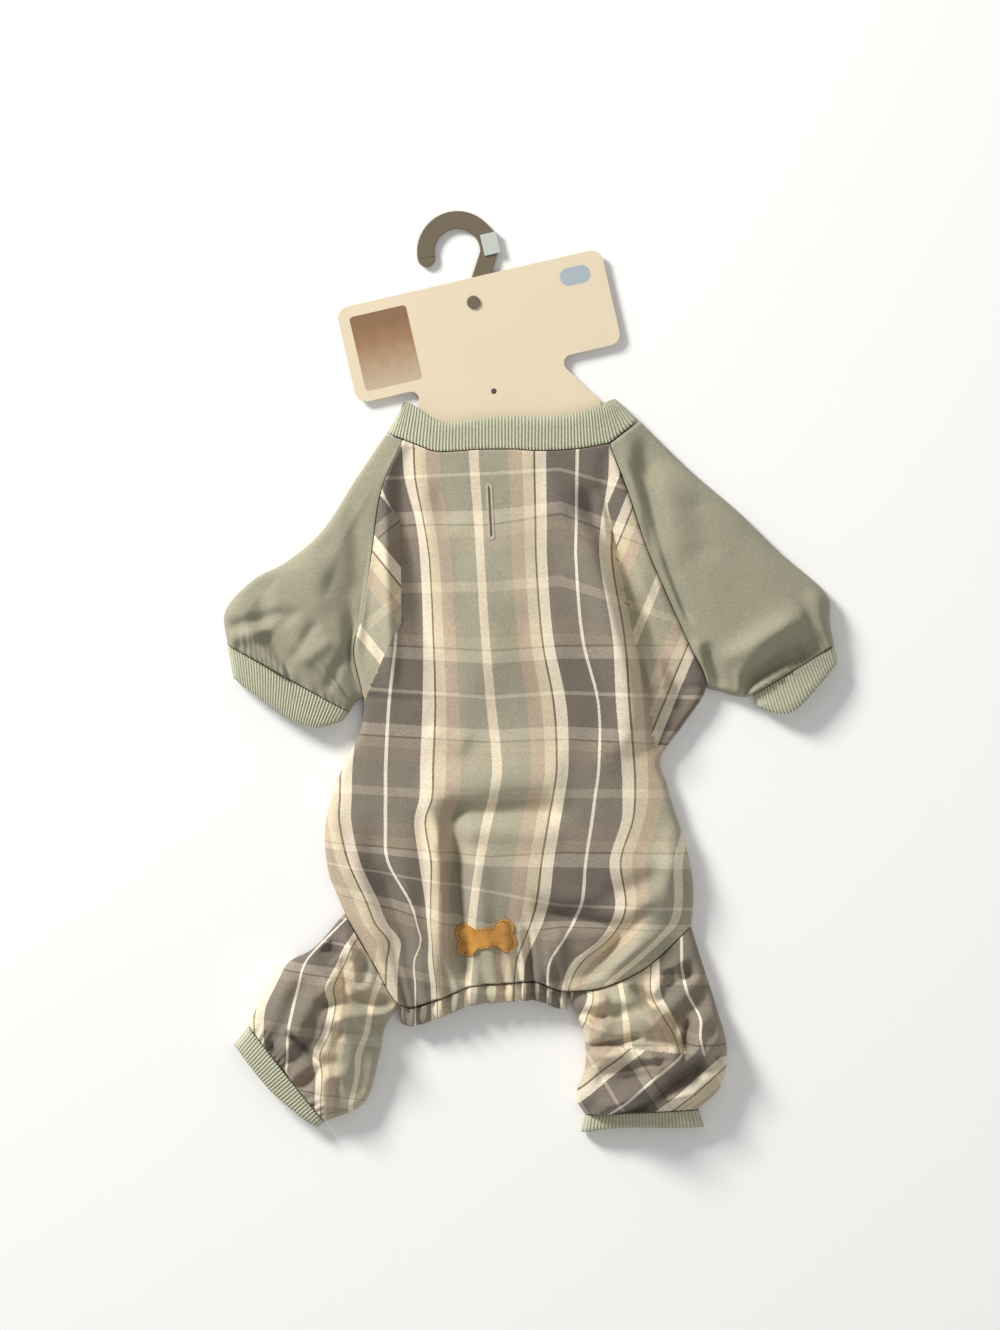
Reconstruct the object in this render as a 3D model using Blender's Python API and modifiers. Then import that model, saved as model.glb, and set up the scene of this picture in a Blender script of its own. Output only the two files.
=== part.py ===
"""Dog jumpsuit lying back up on its card hanger: a hollow plaid body with raglan sleeves, a rib collar,
rib cuffs, crumpled hind legs, a gathered tail hem, and the card and hook that it hangs from in a shop.

Metres, +Z up, +Y from the tail to the neck. The garment is worked out in its own plan, whose origin is
the middle of the collar seam, and everything is then moved so that the whole stands on z = 0 with the
middle of its footprint at the origin.
"""

import math
from collections import namedtuple

import bmesh
import bpy
from mathutils import Matrix, Vector
from mathutils.bvhtree import BVHTree

# Cloth
CLOTH = 0.0016
RIB_CLOTH = 0.0020
SEAM_GAP = 0.0008
EDGE_RADIUS = 0.0042

# Heights of the upper cloth: where a piece lies flat, and least in a fold. The step keeps the two cloths
# of a folded edge apart.
FLAT_HEIGHT = 2 * EDGE_RADIUS
LEAST_HEIGHT = 0.0062
EDGE_STEP = 0.0008

# Body, collar seam to tail hem seam, and across the hips
BACK_LENGTH = 0.384
BODY_WIDTH = 0.256
BODY_RISE = 0.017
RAGLAN_END = 0.45
LEFT_LEG_SPAN = (0.0, 0.16)
TAIL_SPAN = (0.16, 0.64)
RIGHT_LEG_SPAN = (0.64, 1.0)

# Collar, sleeves, legs and their bands
COLLAR_WIDTH = 0.0240
COLLAR_RISE = 0.0075
LEFT_SHOULDER_REACH = 0.0124
LEFT_SHOULDER_LEAN = math.radians(20)
RIGHT_SHOULDER_REACH = 0.0264
RIGHT_SHOULDER_LEAN = math.radians(38)
SLEEVE_LENGTH = 0.185
SLEEVE_RISE = 0.012
SLEEVE_CUFF_WIDTH = 0.0245
LEG_LENGTH = 0.150
LEG_RISE = 0.019
LEG_CUFF_WIDTH = 0.0160
CUFF_RISE = 0.0070
HEM_WIDTH = 0.0126
HEM_RISE = 0.0060
GATHERS = 11
GATHER_DEPTH = 0.0012

# Depth of a fold whose share is 1, and the share of a sleeve or leg over which folds grow from its root
FOLD_DEPTH = 0.010
CALM_SEAM = 0.24

# Leash slot and bone patch on the back
SLOT_LENGTH = 0.0350
SLOT_WIDTH = 0.0014
SLOT_BORDER = 0.0020
SLOT_ACROSS = 0.44
SLOT_DOWN = 0.118
SLOT_LEAN = math.radians(3)
PATCH_LENGTH = 0.0415
PATCH_HEIGHT = 0.0230
PATCH_THICKNESS = 0.0016
PATCH_DOWN = 0.905
PATCH_SIDE = -0.055
PATCH_TURN = math.radians(8)
LAID_ON = 0.0005
DRAPE_STEP = 0.008

# Card
CARD_THICKNESS = 0.0008
HEADER_WIDTH = 0.190
HEADER_HEIGHT = 0.068
HEADER_CORNER = 0.008
CARD_NECK_WIDTH = 0.104
CARD_SHOULDER_WIDTH = 0.142
CARD_LENGTH = 0.200
CARD_TURN = math.radians(13)
CARD_TOP_SIDE = -0.0266
CARD_TOP_UP = 0.1189
STUD_DOWN = 0.0170
TAG_HOLE_DOWN = 0.0808
TAG_HOLE = 0.0040

# Hook
HOOK_THICKNESS = 0.0024
HOOK_BAND = 0.0124
HOOK_RADIUS = 0.0221
HOOK_TIP_ANGLE = math.radians(192)
HOOK_RISE = 0.0373
STEM_LEAN = math.radians(17)
STUD_SHAFT = 0.0060
STUD_HEAD = 0.0092
STUD_HEAD_HEIGHT = 0.0012
FIT = 0.0003

# Size clip on the hook's outer edge, at an angle round its arc
CLIP_LENGTH = 0.0150
CLIP_WALL = 0.0008
CLIP_WIDTH = 0.0115
CLIP_ANGLE = math.radians(13)
CLIP_CLEAR = 0.0003

HOOK_BOTTOM = CLIP_WALL + CLIP_CLEAR
CARD_BOTTOM = HOOK_BOTTOM + HOOK_THICKNESS + FIT
CARD_TOP = CARD_BOTTOM + CARD_THICKNESS

# The body's two side lines from neck to legs, in shares of BODY_WIDTH across and BACK_LENGTH down, how
# far the middle of each row hangs below its ends, and the share of BODY_RISE that it stands up
BodyRow = namedtuple("BodyRow", "down left_x left_y right_x right_y drop rise")
BODY_ROWS = (
    BodyRow(0.00, -0.281, -0.016, 0.281, -0.009, 0.018, 0.45),
    BodyRow(0.09, -0.339, 0.075, 0.333, 0.082, 0.011, 0.52),
    BodyRow(0.20, -0.366, 0.192, 0.385, 0.184, 0.015, 0.60),
    BodyRow(0.30, -0.391, 0.297, 0.451, 0.286, 0.011, 0.65),
    BodyRow(0.38, -0.415, 0.370, 0.500, 0.358, 0.018, 0.66),
    BodyRow(0.45, -0.391, 0.454, 0.546, 0.434, 0.007, 0.66),
    BodyRow(0.50, -0.398, 0.513, 0.484, 0.502, 0.000, 0.62),
    BodyRow(0.56, -0.434, 0.562, 0.423, 0.562, 0.005, 0.66),
    BodyRow(0.64, -0.462, 0.608, 0.440, 0.613, 0.036, 0.85),
    BodyRow(0.72, -0.484, 0.655, 0.462, 0.662, 0.068, 1.00),
    BodyRow(0.80, -0.495, 0.710, 0.489, 0.717, 0.091, 1.00),
    BodyRow(0.88, -0.484, 0.772, 0.508, 0.777, 0.109, 0.86),
    BodyRow(0.94, -0.462, 0.810, 0.511, 0.823, 0.128, 0.68),
    BodyRow(1.00, -0.440, 0.845, 0.505, 0.869, 0.137, 0.50),
)

# How a row hangs between its ends: the legs' roots rise to the hips, and the tail hem arches a little
HangPoint = namedtuple("HangPoint", "across hang")
ROW_HANG = (
    HangPoint(0.00, 0.00),
    HangPoint(0.08, 0.62),
    HangPoint(0.16, 1.18),
    HangPoint(0.27, 1.09),
    HangPoint(0.36, 0.91),
    HangPoint(0.47, 0.84),
    HangPoint(0.55, 0.81),
    HangPoint(0.62, 0.91),
    HangPoint(0.69, 0.90),
    HangPoint(0.75, 0.84),
    HangPoint(0.87, 0.56),
    HangPoint(1.00, 0.00),
)

# Folds run from one place to another, across and along the piece, with their width and their depth as a
# share of FOLD_DEPTH, negative in a valley
Fold = namedtuple("Fold", "from_across from_along to_across to_along width depth")
BODY_FOLDS = (
    Fold(0.04, 0.04, 0.24, 0.38, 0.050, -0.55),
    Fold(0.17, 0.10, 0.33, 0.40, 0.060, 0.25),
    Fold(0.84, 0.12, 0.93, 0.50, 0.040, -0.95),
    Fold(0.72, 0.10, 0.84, 0.52, 0.060, 0.45),
    Fold(0.33, 0.665, 0.64, 0.640, 0.022, -0.40),
    Fold(0.30, 0.610, 0.66, 0.590, 0.040, 0.45),
    Fold(0.36, 0.68, 0.37, 0.98, 0.030, -0.60),
    Fold(0.27, 0.66, 0.30, 0.80, 0.030, -0.40),
    Fold(0.31, 0.70, 0.33, 0.86, 0.030, 0.35),
    Fold(0.60, 0.845, 0.90, 0.830, 0.025, -0.50),
    Fold(0.14, 0.72, 0.22, 0.98, 0.040, -0.50),
    Fold(0.08, 0.80, 0.15, 0.98, 0.035, 0.30),
    Fold(0.98, 0.78, 0.78, 0.97, 0.040, 0.45),
    Fold(0.50, 0.93, 0.56, 1.00, 0.035, -0.30),
)

# The two side lines of a sleeve or a leg, from where it joins the body to its cuff, in shares of its
# length from the ends of its root: outer_x and outer_y for the shoulder or hip side, inner_x and inner_y
# for the underarm or tail side
TubeRow = namedtuple("TubeRow", "along outer_x outer_y inner_x inner_y rise")
LEFT_SLEEVE_ROWS = (
    TubeRow(0.00, 0.000, 0.000, 0.000, 0.000, 0.60),
    TubeRow(0.20, -0.117, 0.174, -0.016, 0.006, 0.72),
    TubeRow(0.38, -0.242, 0.367, -0.028, 0.016, 1.00),
    TubeRow(0.54, -0.378, 0.484, -0.036, 0.027, 1.00),
    TubeRow(0.70, -0.503, 0.552, -0.042, 0.037, 0.90),
    TubeRow(0.86, -0.608, 0.670, -0.047, 0.045, 0.80),
    TubeRow(1.00, -0.600, 0.800, -0.050, 0.053, 0.60),
)
RIGHT_SLEEVE_ROWS = (
    TubeRow(0.00, 0.000, 0.000, 0.000, 0.000, 0.60),
    TubeRow(0.18, 0.189, 0.185, 0.022, 0.010, 0.76),
    TubeRow(0.36, 0.371, 0.341, 0.060, 0.018, 1.00),
    TubeRow(0.54, 0.534, 0.499, 0.095, 0.030, 1.10),
    TubeRow(0.72, 0.708, 0.655, 0.130, 0.036, 1.15),
    TubeRow(0.88, 0.722, 0.765, 0.160, 0.036, 1.00),
    TubeRow(1.00, 0.738, 0.850, 0.178, 0.026, 0.70),
)
LEFT_LEG_ROWS = (
    TubeRow(0.00, 0.000, 0.000, 0.000, 0.000, 0.35),
    TubeRow(0.25, -0.140, 0.159, -0.072, 0.110, 0.75),
    TubeRow(0.50, -0.261, 0.229, -0.098, 0.245, 1.00),
    TubeRow(0.75, -0.369, 0.359, -0.168, 0.460, 0.95),
    TubeRow(1.00, -0.448, 0.523, -0.352, 0.548, 0.40),
)
RIGHT_LEG_ROWS = (
    TubeRow(0.00, 0.000, 0.000, 0.000, 0.000, 0.35),
    TubeRow(0.20, 0.048, 0.155, 0.040, 0.100, 0.75),
    TubeRow(0.42, 0.110, 0.350, 0.080, 0.200, 1.00),
    TubeRow(0.66, 0.168, 0.575, 0.088, 0.350, 1.10),
    TubeRow(0.86, 0.135, 0.750, 0.045, 0.495, 0.95),
    TubeRow(1.00, 0.035, 0.850, 0.085, 0.575, 0.45),
)
LEFT_SLEEVE_FOLDS = (
    Fold(0.96, 0.86, 0.55, 0.98, 0.050, 0.45),
    Fold(0.98, 0.72, 0.50, 0.90, 0.050, -0.35),
    Fold(0.15, 0.10, 0.60, 0.40, 0.070, -0.35),
    Fold(0.10, 0.60, 0.45, 0.75, 0.060, 0.30),
)
RIGHT_SLEEVE_FOLDS = (
    Fold(0.95, 0.10, 0.35, 0.16, 0.050, -0.35),
    Fold(0.05, 0.75, 0.65, 0.92, 0.060, -0.50),
    Fold(0.08, 0.60, 0.80, 0.76, 0.070, 0.40),
)
LEFT_LEG_FOLDS = (
    Fold(0.02, 0.20, 0.95, 0.24, 0.070, -0.60),
    Fold(0.15, 0.36, 0.55, 0.60, 0.070, 0.40),
    Fold(0.60, 0.30, 0.55, 0.90, 0.060, -0.70),
    Fold(0.42, 0.55, 0.35, 0.95, 0.050, -0.60),
    Fold(0.80, 0.55, 0.75, 0.95, 0.070, -0.40),
)
RIGHT_LEG_FOLDS = (
    Fold(0.05, 0.20, 0.90, 0.20, 0.060, -0.70),
    Fold(0.95, 0.36, 0.35, 0.52, 0.070, -0.80),
    Fold(0.10, 0.30, 0.45, 0.55, 0.060, 0.50),
    Fold(0.15, 0.72, 0.90, 0.70, 0.060, -0.60),
    Fold(0.50, 0.60, 0.95, 0.58, 0.060, 0.50),
    Fold(0.20, 0.88, 0.80, 0.86, 0.050, 0.40),
)

# Which way a band leaves its seam, in shares of its width, round the piece from end to end
BandPoint = namedtuple("BandPoint", "across out_x out_y")
COLLAR_BAND = (
    BandPoint(0.00, 0.50, 0.85),
    BandPoint(0.07, 0.20, 1.03),
    BandPoint(0.25, 0.03, 0.84),
    BandPoint(0.45, 0.00, 0.94),
    BandPoint(0.70, 0.00, 1.00),
    BandPoint(0.88, -0.20, 1.08),
    BandPoint(1.00, -0.66, 0.62),
)
LEFT_SLEEVE_BAND = (
    BandPoint(0.00, -0.20, -0.25),
    BandPoint(0.20, -0.30, -0.80),
    BandPoint(0.60, -0.05, -1.00),
    BandPoint(1.00, 0.16, -0.90),
)
RIGHT_SLEEVE_BAND = (
    BandPoint(0.00, 0.10, -0.35),
    BandPoint(0.30, 0.30, -0.95),
    BandPoint(0.65, 0.30, -0.70),
    BandPoint(1.00, 0.10, -0.45),
)
LEFT_LEG_BAND = (
    BandPoint(0.00, -0.25, -0.22),
    BandPoint(0.15, -0.45, -0.40),
    BandPoint(0.50, -0.72, -0.62),
    BandPoint(1.00, -0.62, -0.80),
)
RIGHT_LEG_BAND = (
    BandPoint(0.00, -0.15, -0.75),
    BandPoint(0.30, 0.00, -0.60),
    BandPoint(0.75, 0.05, -0.70),
    BandPoint(1.00, 0.25, -0.75),
)

# Where each piece's columns stand across it, closer together at its folded edges
BODY_COLUMNS = (
    0.0, 0.010, 0.035, 0.08, 0.12, 0.16, 0.21, 0.26, 0.31, 0.36, 0.42, 0.48,
    0.54, 0.59, 0.64, 0.70, 0.76, 0.82, 0.87, 0.92, 0.965, 0.990, 1.0,
)
BODY_STATIONS = (
    0.0, 0.05, 0.10, 0.16, 0.22, 0.28, 0.34, 0.40, 0.45, 0.50, 0.55, 0.60,
    0.645, 0.69, 0.74, 0.80, 0.85, 0.90, 0.95, 1.0,
)
SLEEVE_STATIONS = (0.0, 0.13, 0.26, 0.40, 0.54, 0.68, 0.82, 0.92, 1.0)
LEG_STATIONS = (0.0, 0.10, 0.22, 0.36, 0.50, 0.64, 0.78, 0.90, 1.0)
BAND_STATIONS = (0.0, 0.5, 1.0)
RAGLAN_SHARE = 0.88
EDGE_COLUMNS = (0.0, 0.03, 0.97, 1.0)


def shared_columns(shares, extra=()):
    """Columns of a piece at its neighbour's own stations, so that both have the same facets at a seam."""
    least = 0.018
    columns = []
    for share in sorted([*shares, *extra, *EDGE_COLUMNS]):
        if 0 <= share <= 1 and (not columns or share - columns[-1] > least):
            columns.append(share)
    columns[-1] = 1.0
    return tuple(columns)


SLEEVE_COLUMNS = shared_columns(
    [RAGLAN_SHARE * (1 - down / RAGLAN_END) for down in BODY_STATIONS if down <= RAGLAN_END]
)
LEFT_LEG_COLUMNS = shared_columns(
    [1 - share / LEFT_LEG_SPAN[1] for share in BODY_COLUMNS], (0.12, 0.375, 0.64)
)
RIGHT_LEG_COLUMNS = shared_columns(
    [(share - RIGHT_LEG_SPAN[0]) / (1 - RIGHT_LEG_SPAN[0]) for share in BODY_COLUMNS], (0.08, 0.25)
)


def read_table(rows, share, column):
    """One column of a table at a share along it, on a smooth curve through its rows."""
    if share <= rows[0][0]:
        return getattr(rows[0], column)
    if share >= rows[-1][0]:
        return getattr(rows[-1], column)
    last = len(rows) - 1
    low = max(i for i in range(last) if rows[i][0] <= share)
    stations = [row[0] for row in rows]
    values = [getattr(row, column) for row in rows]

    def slope(i):
        before, after = max(i - 1, 0), min(i + 1, last)
        return (values[after] - values[before]) / (stations[after] - stations[before])

    step = stations[low + 1] - stations[low]
    t = (share - stations[low]) / step
    return (
        (2 * t**3 - 3 * t**2 + 1) * values[low]
        + (t**3 - 2 * t**2 + t) * step * slope(low)
        + (-2 * t**3 + 3 * t**2) * values[low + 1]
        + (t**3 - t**2) * step * slope(low + 1)
    )


def dome(share):
    return max(4 * share * (1 - share), 0.0) ** 0.45


def edge_closing(distance):
    """How far a folded edge has still to rise, from 1 at the very edge to 0 at EDGE_RADIUS from it."""
    near = max(1 - distance / EDGE_RADIUS, 0.0)
    return 1 - math.sqrt(1 - near**2)


def fold_height(folds, across, along):
    total = 0.0
    for fold in folds:
        run_across = fold.to_across - fold.from_across
        run_along = fold.to_along - fold.from_along
        length = run_across**2 + run_along**2
        place = ((across - fold.from_across) * run_across + (along - fold.from_along) * run_along) / length
        nearest = min(max(place, 0.0), 1.0)
        off_across = across - fold.from_across - nearest * run_across
        off_along = along - fold.from_along - nearest * run_along
        total += fold.depth * math.exp(-(off_across**2 + off_along**2) / fold.width**2)
    return FOLD_DEPTH * total


def tube_heights(across, width, rise, folds_here):
    """Heights of the upper and lower cloth of a flattened tube, closed at both of its edges."""
    distance = min(across, 1 - across) * width
    closing = (EDGE_RADIUS - EDGE_STEP) * edge_closing(distance)
    inside = 1 - edge_closing(distance / 3)
    upper = FLAT_HEIGHT + rise * dome(across) + folds_here * inside
    return max(upper, LEAST_HEIGHT) - closing, closing


def body_plan(across, down):
    """A place on the body in plan, from its share across and down."""
    left = Vector((read_table(BODY_ROWS, down, "left_x"), read_table(BODY_ROWS, down, "left_y")))
    right = Vector((read_table(BODY_ROWS, down, "right_x"), read_table(BODY_ROWS, down, "right_y")))
    place = left.lerp(right, across)
    hang = read_table(BODY_ROWS, down, "drop") * read_table(ROW_HANG, across, "hang")
    return Vector((place.x * BODY_WIDTH, -(place.y + hang) * BACK_LENGTH))


def on_facets(stations, share, place_at):
    """A place on the straight facets between stations, so that two pieces share one line at a seam."""
    low = max(i for i in range(len(stations) - 1) if stations[i] <= share or i == 0)
    part = (share - stations[low]) / (stations[low + 1] - stations[low])
    return place_at(stations[low]).lerp(place_at(stations[low + 1]), part)


def body_lower_edge(across):
    return on_facets(BODY_COLUMNS, across, lambda column: body_plan(column, 1.0))


def body_neck_edge(across):
    return on_facets(BODY_COLUMNS, across, lambda column: body_plan(column, 0.0))


def body_side_edge(side, down):
    return on_facets(BODY_STATIONS, down, lambda station: body_plan(side, station))


def body_width(down):
    return (body_plan(1, down) - body_plan(0, down)).length


def shoulder_point(side):
    """Where a sleeve's shoulder edge meets the end of the collar seam; side is 0 left, 1 right."""
    reach = RIGHT_SHOULDER_REACH if side else -LEFT_SHOULDER_REACH
    lean = RIGHT_SHOULDER_LEAN if side else -LEFT_SHOULDER_LEAN
    return body_plan(side, 0) + reach * Vector((math.cos(lean), math.sin(lean)))


def seam_plan(side, share):
    """The line on which a sleeve joins the body and the collar, from the underarm to the shoulder."""
    if share <= RAGLAN_SHARE:
        return body_side_edge(side, RAGLAN_END * (1 - share / RAGLAN_SHARE))
    return body_plan(side, 0).lerp(shoulder_point(side), (share - RAGLAN_SHARE) / (1 - RAGLAN_SHARE))


def seam_width(side):
    return (seam_plan(side, 1) - seam_plan(side, 0)).length


def seam_height(side, share):
    rows = RIGHT_SLEEVE_ROWS if side else LEFT_SLEEVE_ROWS
    return tube_heights(share, seam_width(side), rows[0].rise * SLEEVE_RISE, 0.0)[0]


def body_heights(across, down):
    width = body_width(down)
    upper = FLAT_HEIGHT + BODY_RISE * read_table(BODY_ROWS, down, "rise") * dome(across)
    lower = 0.0
    for side in (0, 1):
        distance = (across if side == 0 else 1 - across) * width
        if down < RAGLAN_END:
            seam = seam_height(side, RAGLAN_SHARE * (1 - down / RAGLAN_END))
            upper += (seam - FLAT_HEIGHT) * math.exp(-distance / (8 * EDGE_RADIUS))
        else:
            closing = (EDGE_RADIUS - EDGE_STEP) * edge_closing(distance)
            upper -= closing
            lower += closing
    distance = min(across, 1 - across) * width
    upper += fold_height(BODY_FOLDS, across, down) * (1 - edge_closing(distance / 3))
    return max(upper, LEAST_HEIGHT if lower == 0 else upper), lower


def material_of(name, colour, roughness):
    made = bpy.data.materials.new(name)
    made.use_nodes = True
    shader = made.node_tree.nodes["Principled BSDF"]
    shader.inputs["Base Color"].default_value = (*colour, 1)
    shader.inputs["Roughness"].default_value = roughness
    made.diffuse_color = (*colour, 1)
    return made


def object_of(name, bm, material, smooth=True):
    mesh = bpy.data.meshes.new(name)
    bmesh.ops.recalc_face_normals(bm, faces=bm.faces)
    bm.to_mesh(mesh)
    bm.free()
    if smooth:
        mesh.shade_smooth()
        mesh.set_sharp_from_angle(angle=math.radians(40))
    mesh.materials.append(material)
    made = bpy.data.objects.new(name, mesh)
    garment.objects.link(made)
    made.parent = root
    return made


def loft_rings(rings, open_sides):
    """Joins rings of points, upper cloth then lower cloth. open_sides(row, side) leaves a side unjoined."""
    bm = bmesh.new()
    grid = [[bm.verts.new(point) for point in ring] for ring in rings]
    count = len(rings[0])
    half = count // 2
    for row in range(len(grid) - 1):
        for i in range(count):
            side = {half - 1: 1, count - 1: 0}.get(i)
            if side is not None and open_sides(row, side):
                continue
            j = (i + 1) % count
            bm.faces.new((grid[row][i], grid[row][j], grid[row + 1][j], grid[row + 1][i]))
    return bm


def closed_sides(row, side):
    return False


def cloth_object(name, rings, thickness, material, open_sides=closed_sides):
    """A cloth tube with its wall on the inside of the given surface."""
    made = object_of(name, loft_rings(rings, open_sides), material)
    wall = made.modifiers.new("wall", "SOLIDIFY")
    wall.thickness = thickness
    wall.offset = -1 if turned_out(made.data) else 1
    return made


def turned_out(mesh):
    """True where the highest face looks up, so that the wall goes inwards."""
    return max(mesh.polygons, key=lambda face: face.center.z).normal.z > 0


def ring_of(columns, plan_at, heights_at):
    upper = [(*plan_at(share), heights_at(share)[0]) for share in columns]
    lower = [(*plan_at(share), heights_at(share)[1]) for share in reversed(columns)]
    return upper + lower


def clear_of_seam(points, towards):
    """Moves a seam's points half the gap towards the inside of their own piece."""
    return points + towards.normalized() * SEAM_GAP / 2


def make_body():
    def ring(down):
        def plan(across):
            place = body_plan(across, down)
            if down <= RAGLAN_END and across in (0.0, 1.0):
                inwards = body_plan(0.5, down) - place
                place = clear_of_seam(place, inwards)
            if down == 0.0:
                place = clear_of_seam(place, Vector((0, -1)))
            if down == 1.0:
                place = clear_of_seam(place, body_plan(across, 0.98) - place)
            return place

        return ring_of(BODY_COLUMNS, plan, lambda across: body_heights(across, down))

    def open_to_sleeve(row, side):
        return BODY_STATIONS[row] < RAGLAN_END

    rings = [ring(down) for down in BODY_STATIONS]
    return cloth_object("body", rings, CLOTH, plaid, open_to_sleeve)


def tube_plan(rows, length, root_at, across, along):
    """A place on a sleeve or leg. Its first ring follows its root, and later ones straighten out."""

    def side_line(root, side):
        out_x = read_table(rows, along, side + "_x")
        out_y = read_table(rows, along, side + "_y")
        return root + length * Vector((out_x, -out_y))

    inner_root = root_at(0.0)
    outer_root = root_at(1.0)
    bend = root_at(across) - inner_root.lerp(outer_root, across)
    straight = side_line(inner_root, "inner").lerp(side_line(outer_root, "outer"), across)
    return straight + bend * max(1 - along**2, 0.0)


def sleeve_root(side):
    return lambda share: seam_plan(side, share)


def leg_root(span, outer_first):
    """The part of the body's lower edge that a leg joins, read from its tail side to its hip side."""
    start, end = (span[1], span[0]) if outer_first else span
    return lambda share: body_lower_edge(start + (end - start) * share)


def square_to(line_at, share, towards):
    """The direction square to a line at a share along it, on the side of another direction."""
    step = 0.01
    run = line_at(min(share + step, 1.0)) - line_at(max(share - step, 0.0))
    square = Vector((run.y, -run.x))
    return square if square.dot(towards) > 0 else -square


def make_tube(name, rows, length, rise, root_at, folds, columns, stations, material):
    centre = tube_plan(rows, length, root_at, 0.5, 0.5)

    def ring(along):
        width = (
            tube_plan(rows, length, root_at, 1, along) - tube_plan(rows, length, root_at, 0, along)
        ).length

        def plan(across):
            place = tube_plan(rows, length, root_at, across, along)
            if along == 0.0:
                place = clear_of_seam(place, square_to(root_at, across, centre - place))
            if along == 1.0:
                place = clear_of_seam(place, tube_plan(rows, length, root_at, across, 0.94) - place)
            return place

        def heights(across):
            fade = min(along / CALM_SEAM, 1.0) ** 2
            here = fold_height(folds, across, along) * fade
            return tube_heights(across, width, rise * read_table(rows, along, "rise"), here)

        return ring_of(columns, plan, heights)

    return cloth_object(name, [ring(along) for along in stations], CLOTH, material)


def make_band(name, seam_at, out_rows, width, rise, columns, thickness, material, ripple=None, lift=0.0):
    """A band of rib or casing that leaves a seam: a short flattened tube, open at both ends. ripple adds
    to its upper cloth, and lift is how far the middle of its lower cloth stands off the floor."""

    def ring(along):
        def plan(across):
            out = Vector((read_table(out_rows, across, "out_x"), read_table(out_rows, across, "out_y")))
            start = seam_at(across) + out.normalized() * SEAM_GAP * 0.75
            return start + out * width * along

        span = (seam_at(1.0) - seam_at(0.0)).length

        def heights(across):
            here = ripple(across) if ripple else 0.0
            upper, lower = tube_heights(across, span, rise, here)
            middle = max(1 - edge_closing(min(across, 1 - across) * span / 6), 0.0)
            return upper, lower + lift * middle

        return ring_of(columns, plan, heights)

    return cloth_object(name, [ring(along) for along in BAND_STATIONS], thickness, material)


def collar_seam(across):
    left_share, right_share = COLLAR_BAND[1].across, COLLAR_BAND[-2].across
    if across < left_share:
        return shoulder_point(0).lerp(body_plan(0, 0), across / left_share)
    if across > right_share:
        return body_plan(1, 0).lerp(shoulder_point(1), (across - right_share) / (1 - right_share))
    return body_neck_edge((across - left_share) / (right_share - left_share))


COLLAR_COLUMNS = (
    0.0, 0.02, 0.07, 0.15, 0.24, 0.33, 0.42, 0.51, 0.60, 0.69, 0.78, 0.88, 0.94, 0.98, 1.0,
)


def make_hem():
    start, end = TAIL_SPAN
    steps = GATHERS * 4
    columns = [i / steps for i in range(steps + 1)]
    # The end columns are narrow, so that the folded ends are round
    columns = [0.0, 0.012] + columns[1:-1] + [0.988, 1.0]

    def seam(across):
        return body_lower_edge(start + (end - start) * across)

    def ripple(across):
        return GATHER_DEPTH * math.cos(2 * math.pi * GATHERS * across)

    straight = (BandPoint(0.0, 0.04, -1.0), BandPoint(1.0, 0.04, -1.0))
    return make_band("tail_hem", seam, straight, HEM_WIDTH, HEM_RISE, columns, CLOTH, plaid, ripple)


def end_of(rows, length, root_at):
    return lambda across: tube_plan(rows, length, root_at, across, 1.0)


def filled_outline(loops, bottom):
    """A flat face of the first loop with the others left open as holes."""
    bm = bmesh.new()
    edges = []
    for loop in loops:
        verts = [bm.verts.new((*place, bottom)) for place in loop]
        edges += [bm.edges.new((verts[i - 1], verts[i])) for i in range(len(verts))]
    bmesh.ops.triangle_fill(bm, edges=edges, use_beauty=True)
    return bm


def height_on(surface, place):
    """The height of a cloth surface at a place in plan, found by a ray from above."""
    hit = surface.ray_cast(Vector((place.x, place.y, 1.0)), Vector((0, 0, -1)))[0]
    return hit.z


def draped_plate(name, surface, outline, holes, clearance, thickness, material):
    """A thin plate of a flat outline laid on the back, following its height, with its holes cut through."""
    bm = filled_outline([outline, *holes], 0)
    for axis in (0, 1):
        low = min(place[axis] for place in outline)
        high = max(place[axis] for place in outline)
        cuts = int((high - low) / DRAPE_STEP)
        for i in range(cuts):
            point, normal = [0, 0, 0], [0, 0, 0]
            point[axis] = low + (i + 0.5) * (high - low) / cuts
            normal[axis] = 1
            bmesh.ops.bisect_plane(
                bm, geom=bm.verts[:] + bm.edges[:] + bm.faces[:], plane_co=point, plane_no=normal
            )
    for vert in bm.verts:
        vert.co.z = height_on(surface, vert.co) + clearance
    made = bmesh.ops.extrude_face_region(bm, geom=bm.faces[:])
    for item in made["geom"]:
        if isinstance(item, bmesh.types.BMVert):
            item.co.z += thickness
    return object_of(name, bm, material)


def turned(place, centre, angle):
    return centre + Matrix.Rotation(angle, 2) @ place


def stadium(length, width, steps):
    """A long outline with round ends, along Y."""
    radius = width / 2
    places = []
    for end in (1, -1):
        for i in range(steps + 1):
            angle = math.pi * i / steps + (0 if end == 1 else math.pi)
            middle = Vector((0, end * (length / 2 - radius)))
            places.append(middle + radius * Vector((math.cos(angle), math.sin(angle))))
    return places


def slot_centre():
    return body_plan(SLOT_ACROSS, SLOT_DOWN)


def make_slot_binding(surface):
    centre = slot_centre()
    border = 2 * SLOT_BORDER
    outside = stadium(SLOT_LENGTH + border, SLOT_WIDTH + border, 6)
    inside = stadium(SLOT_LENGTH, SLOT_WIDTH, 6)
    outer = [turned(place, centre, SLOT_LEAN) for place in outside]
    inner = [turned(place, centre, SLOT_LEAN) for place in inside]
    return draped_plate("leash_slot_binding", surface, outer, [inner], LAID_ON, CLOTH / 2, thread)


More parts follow.
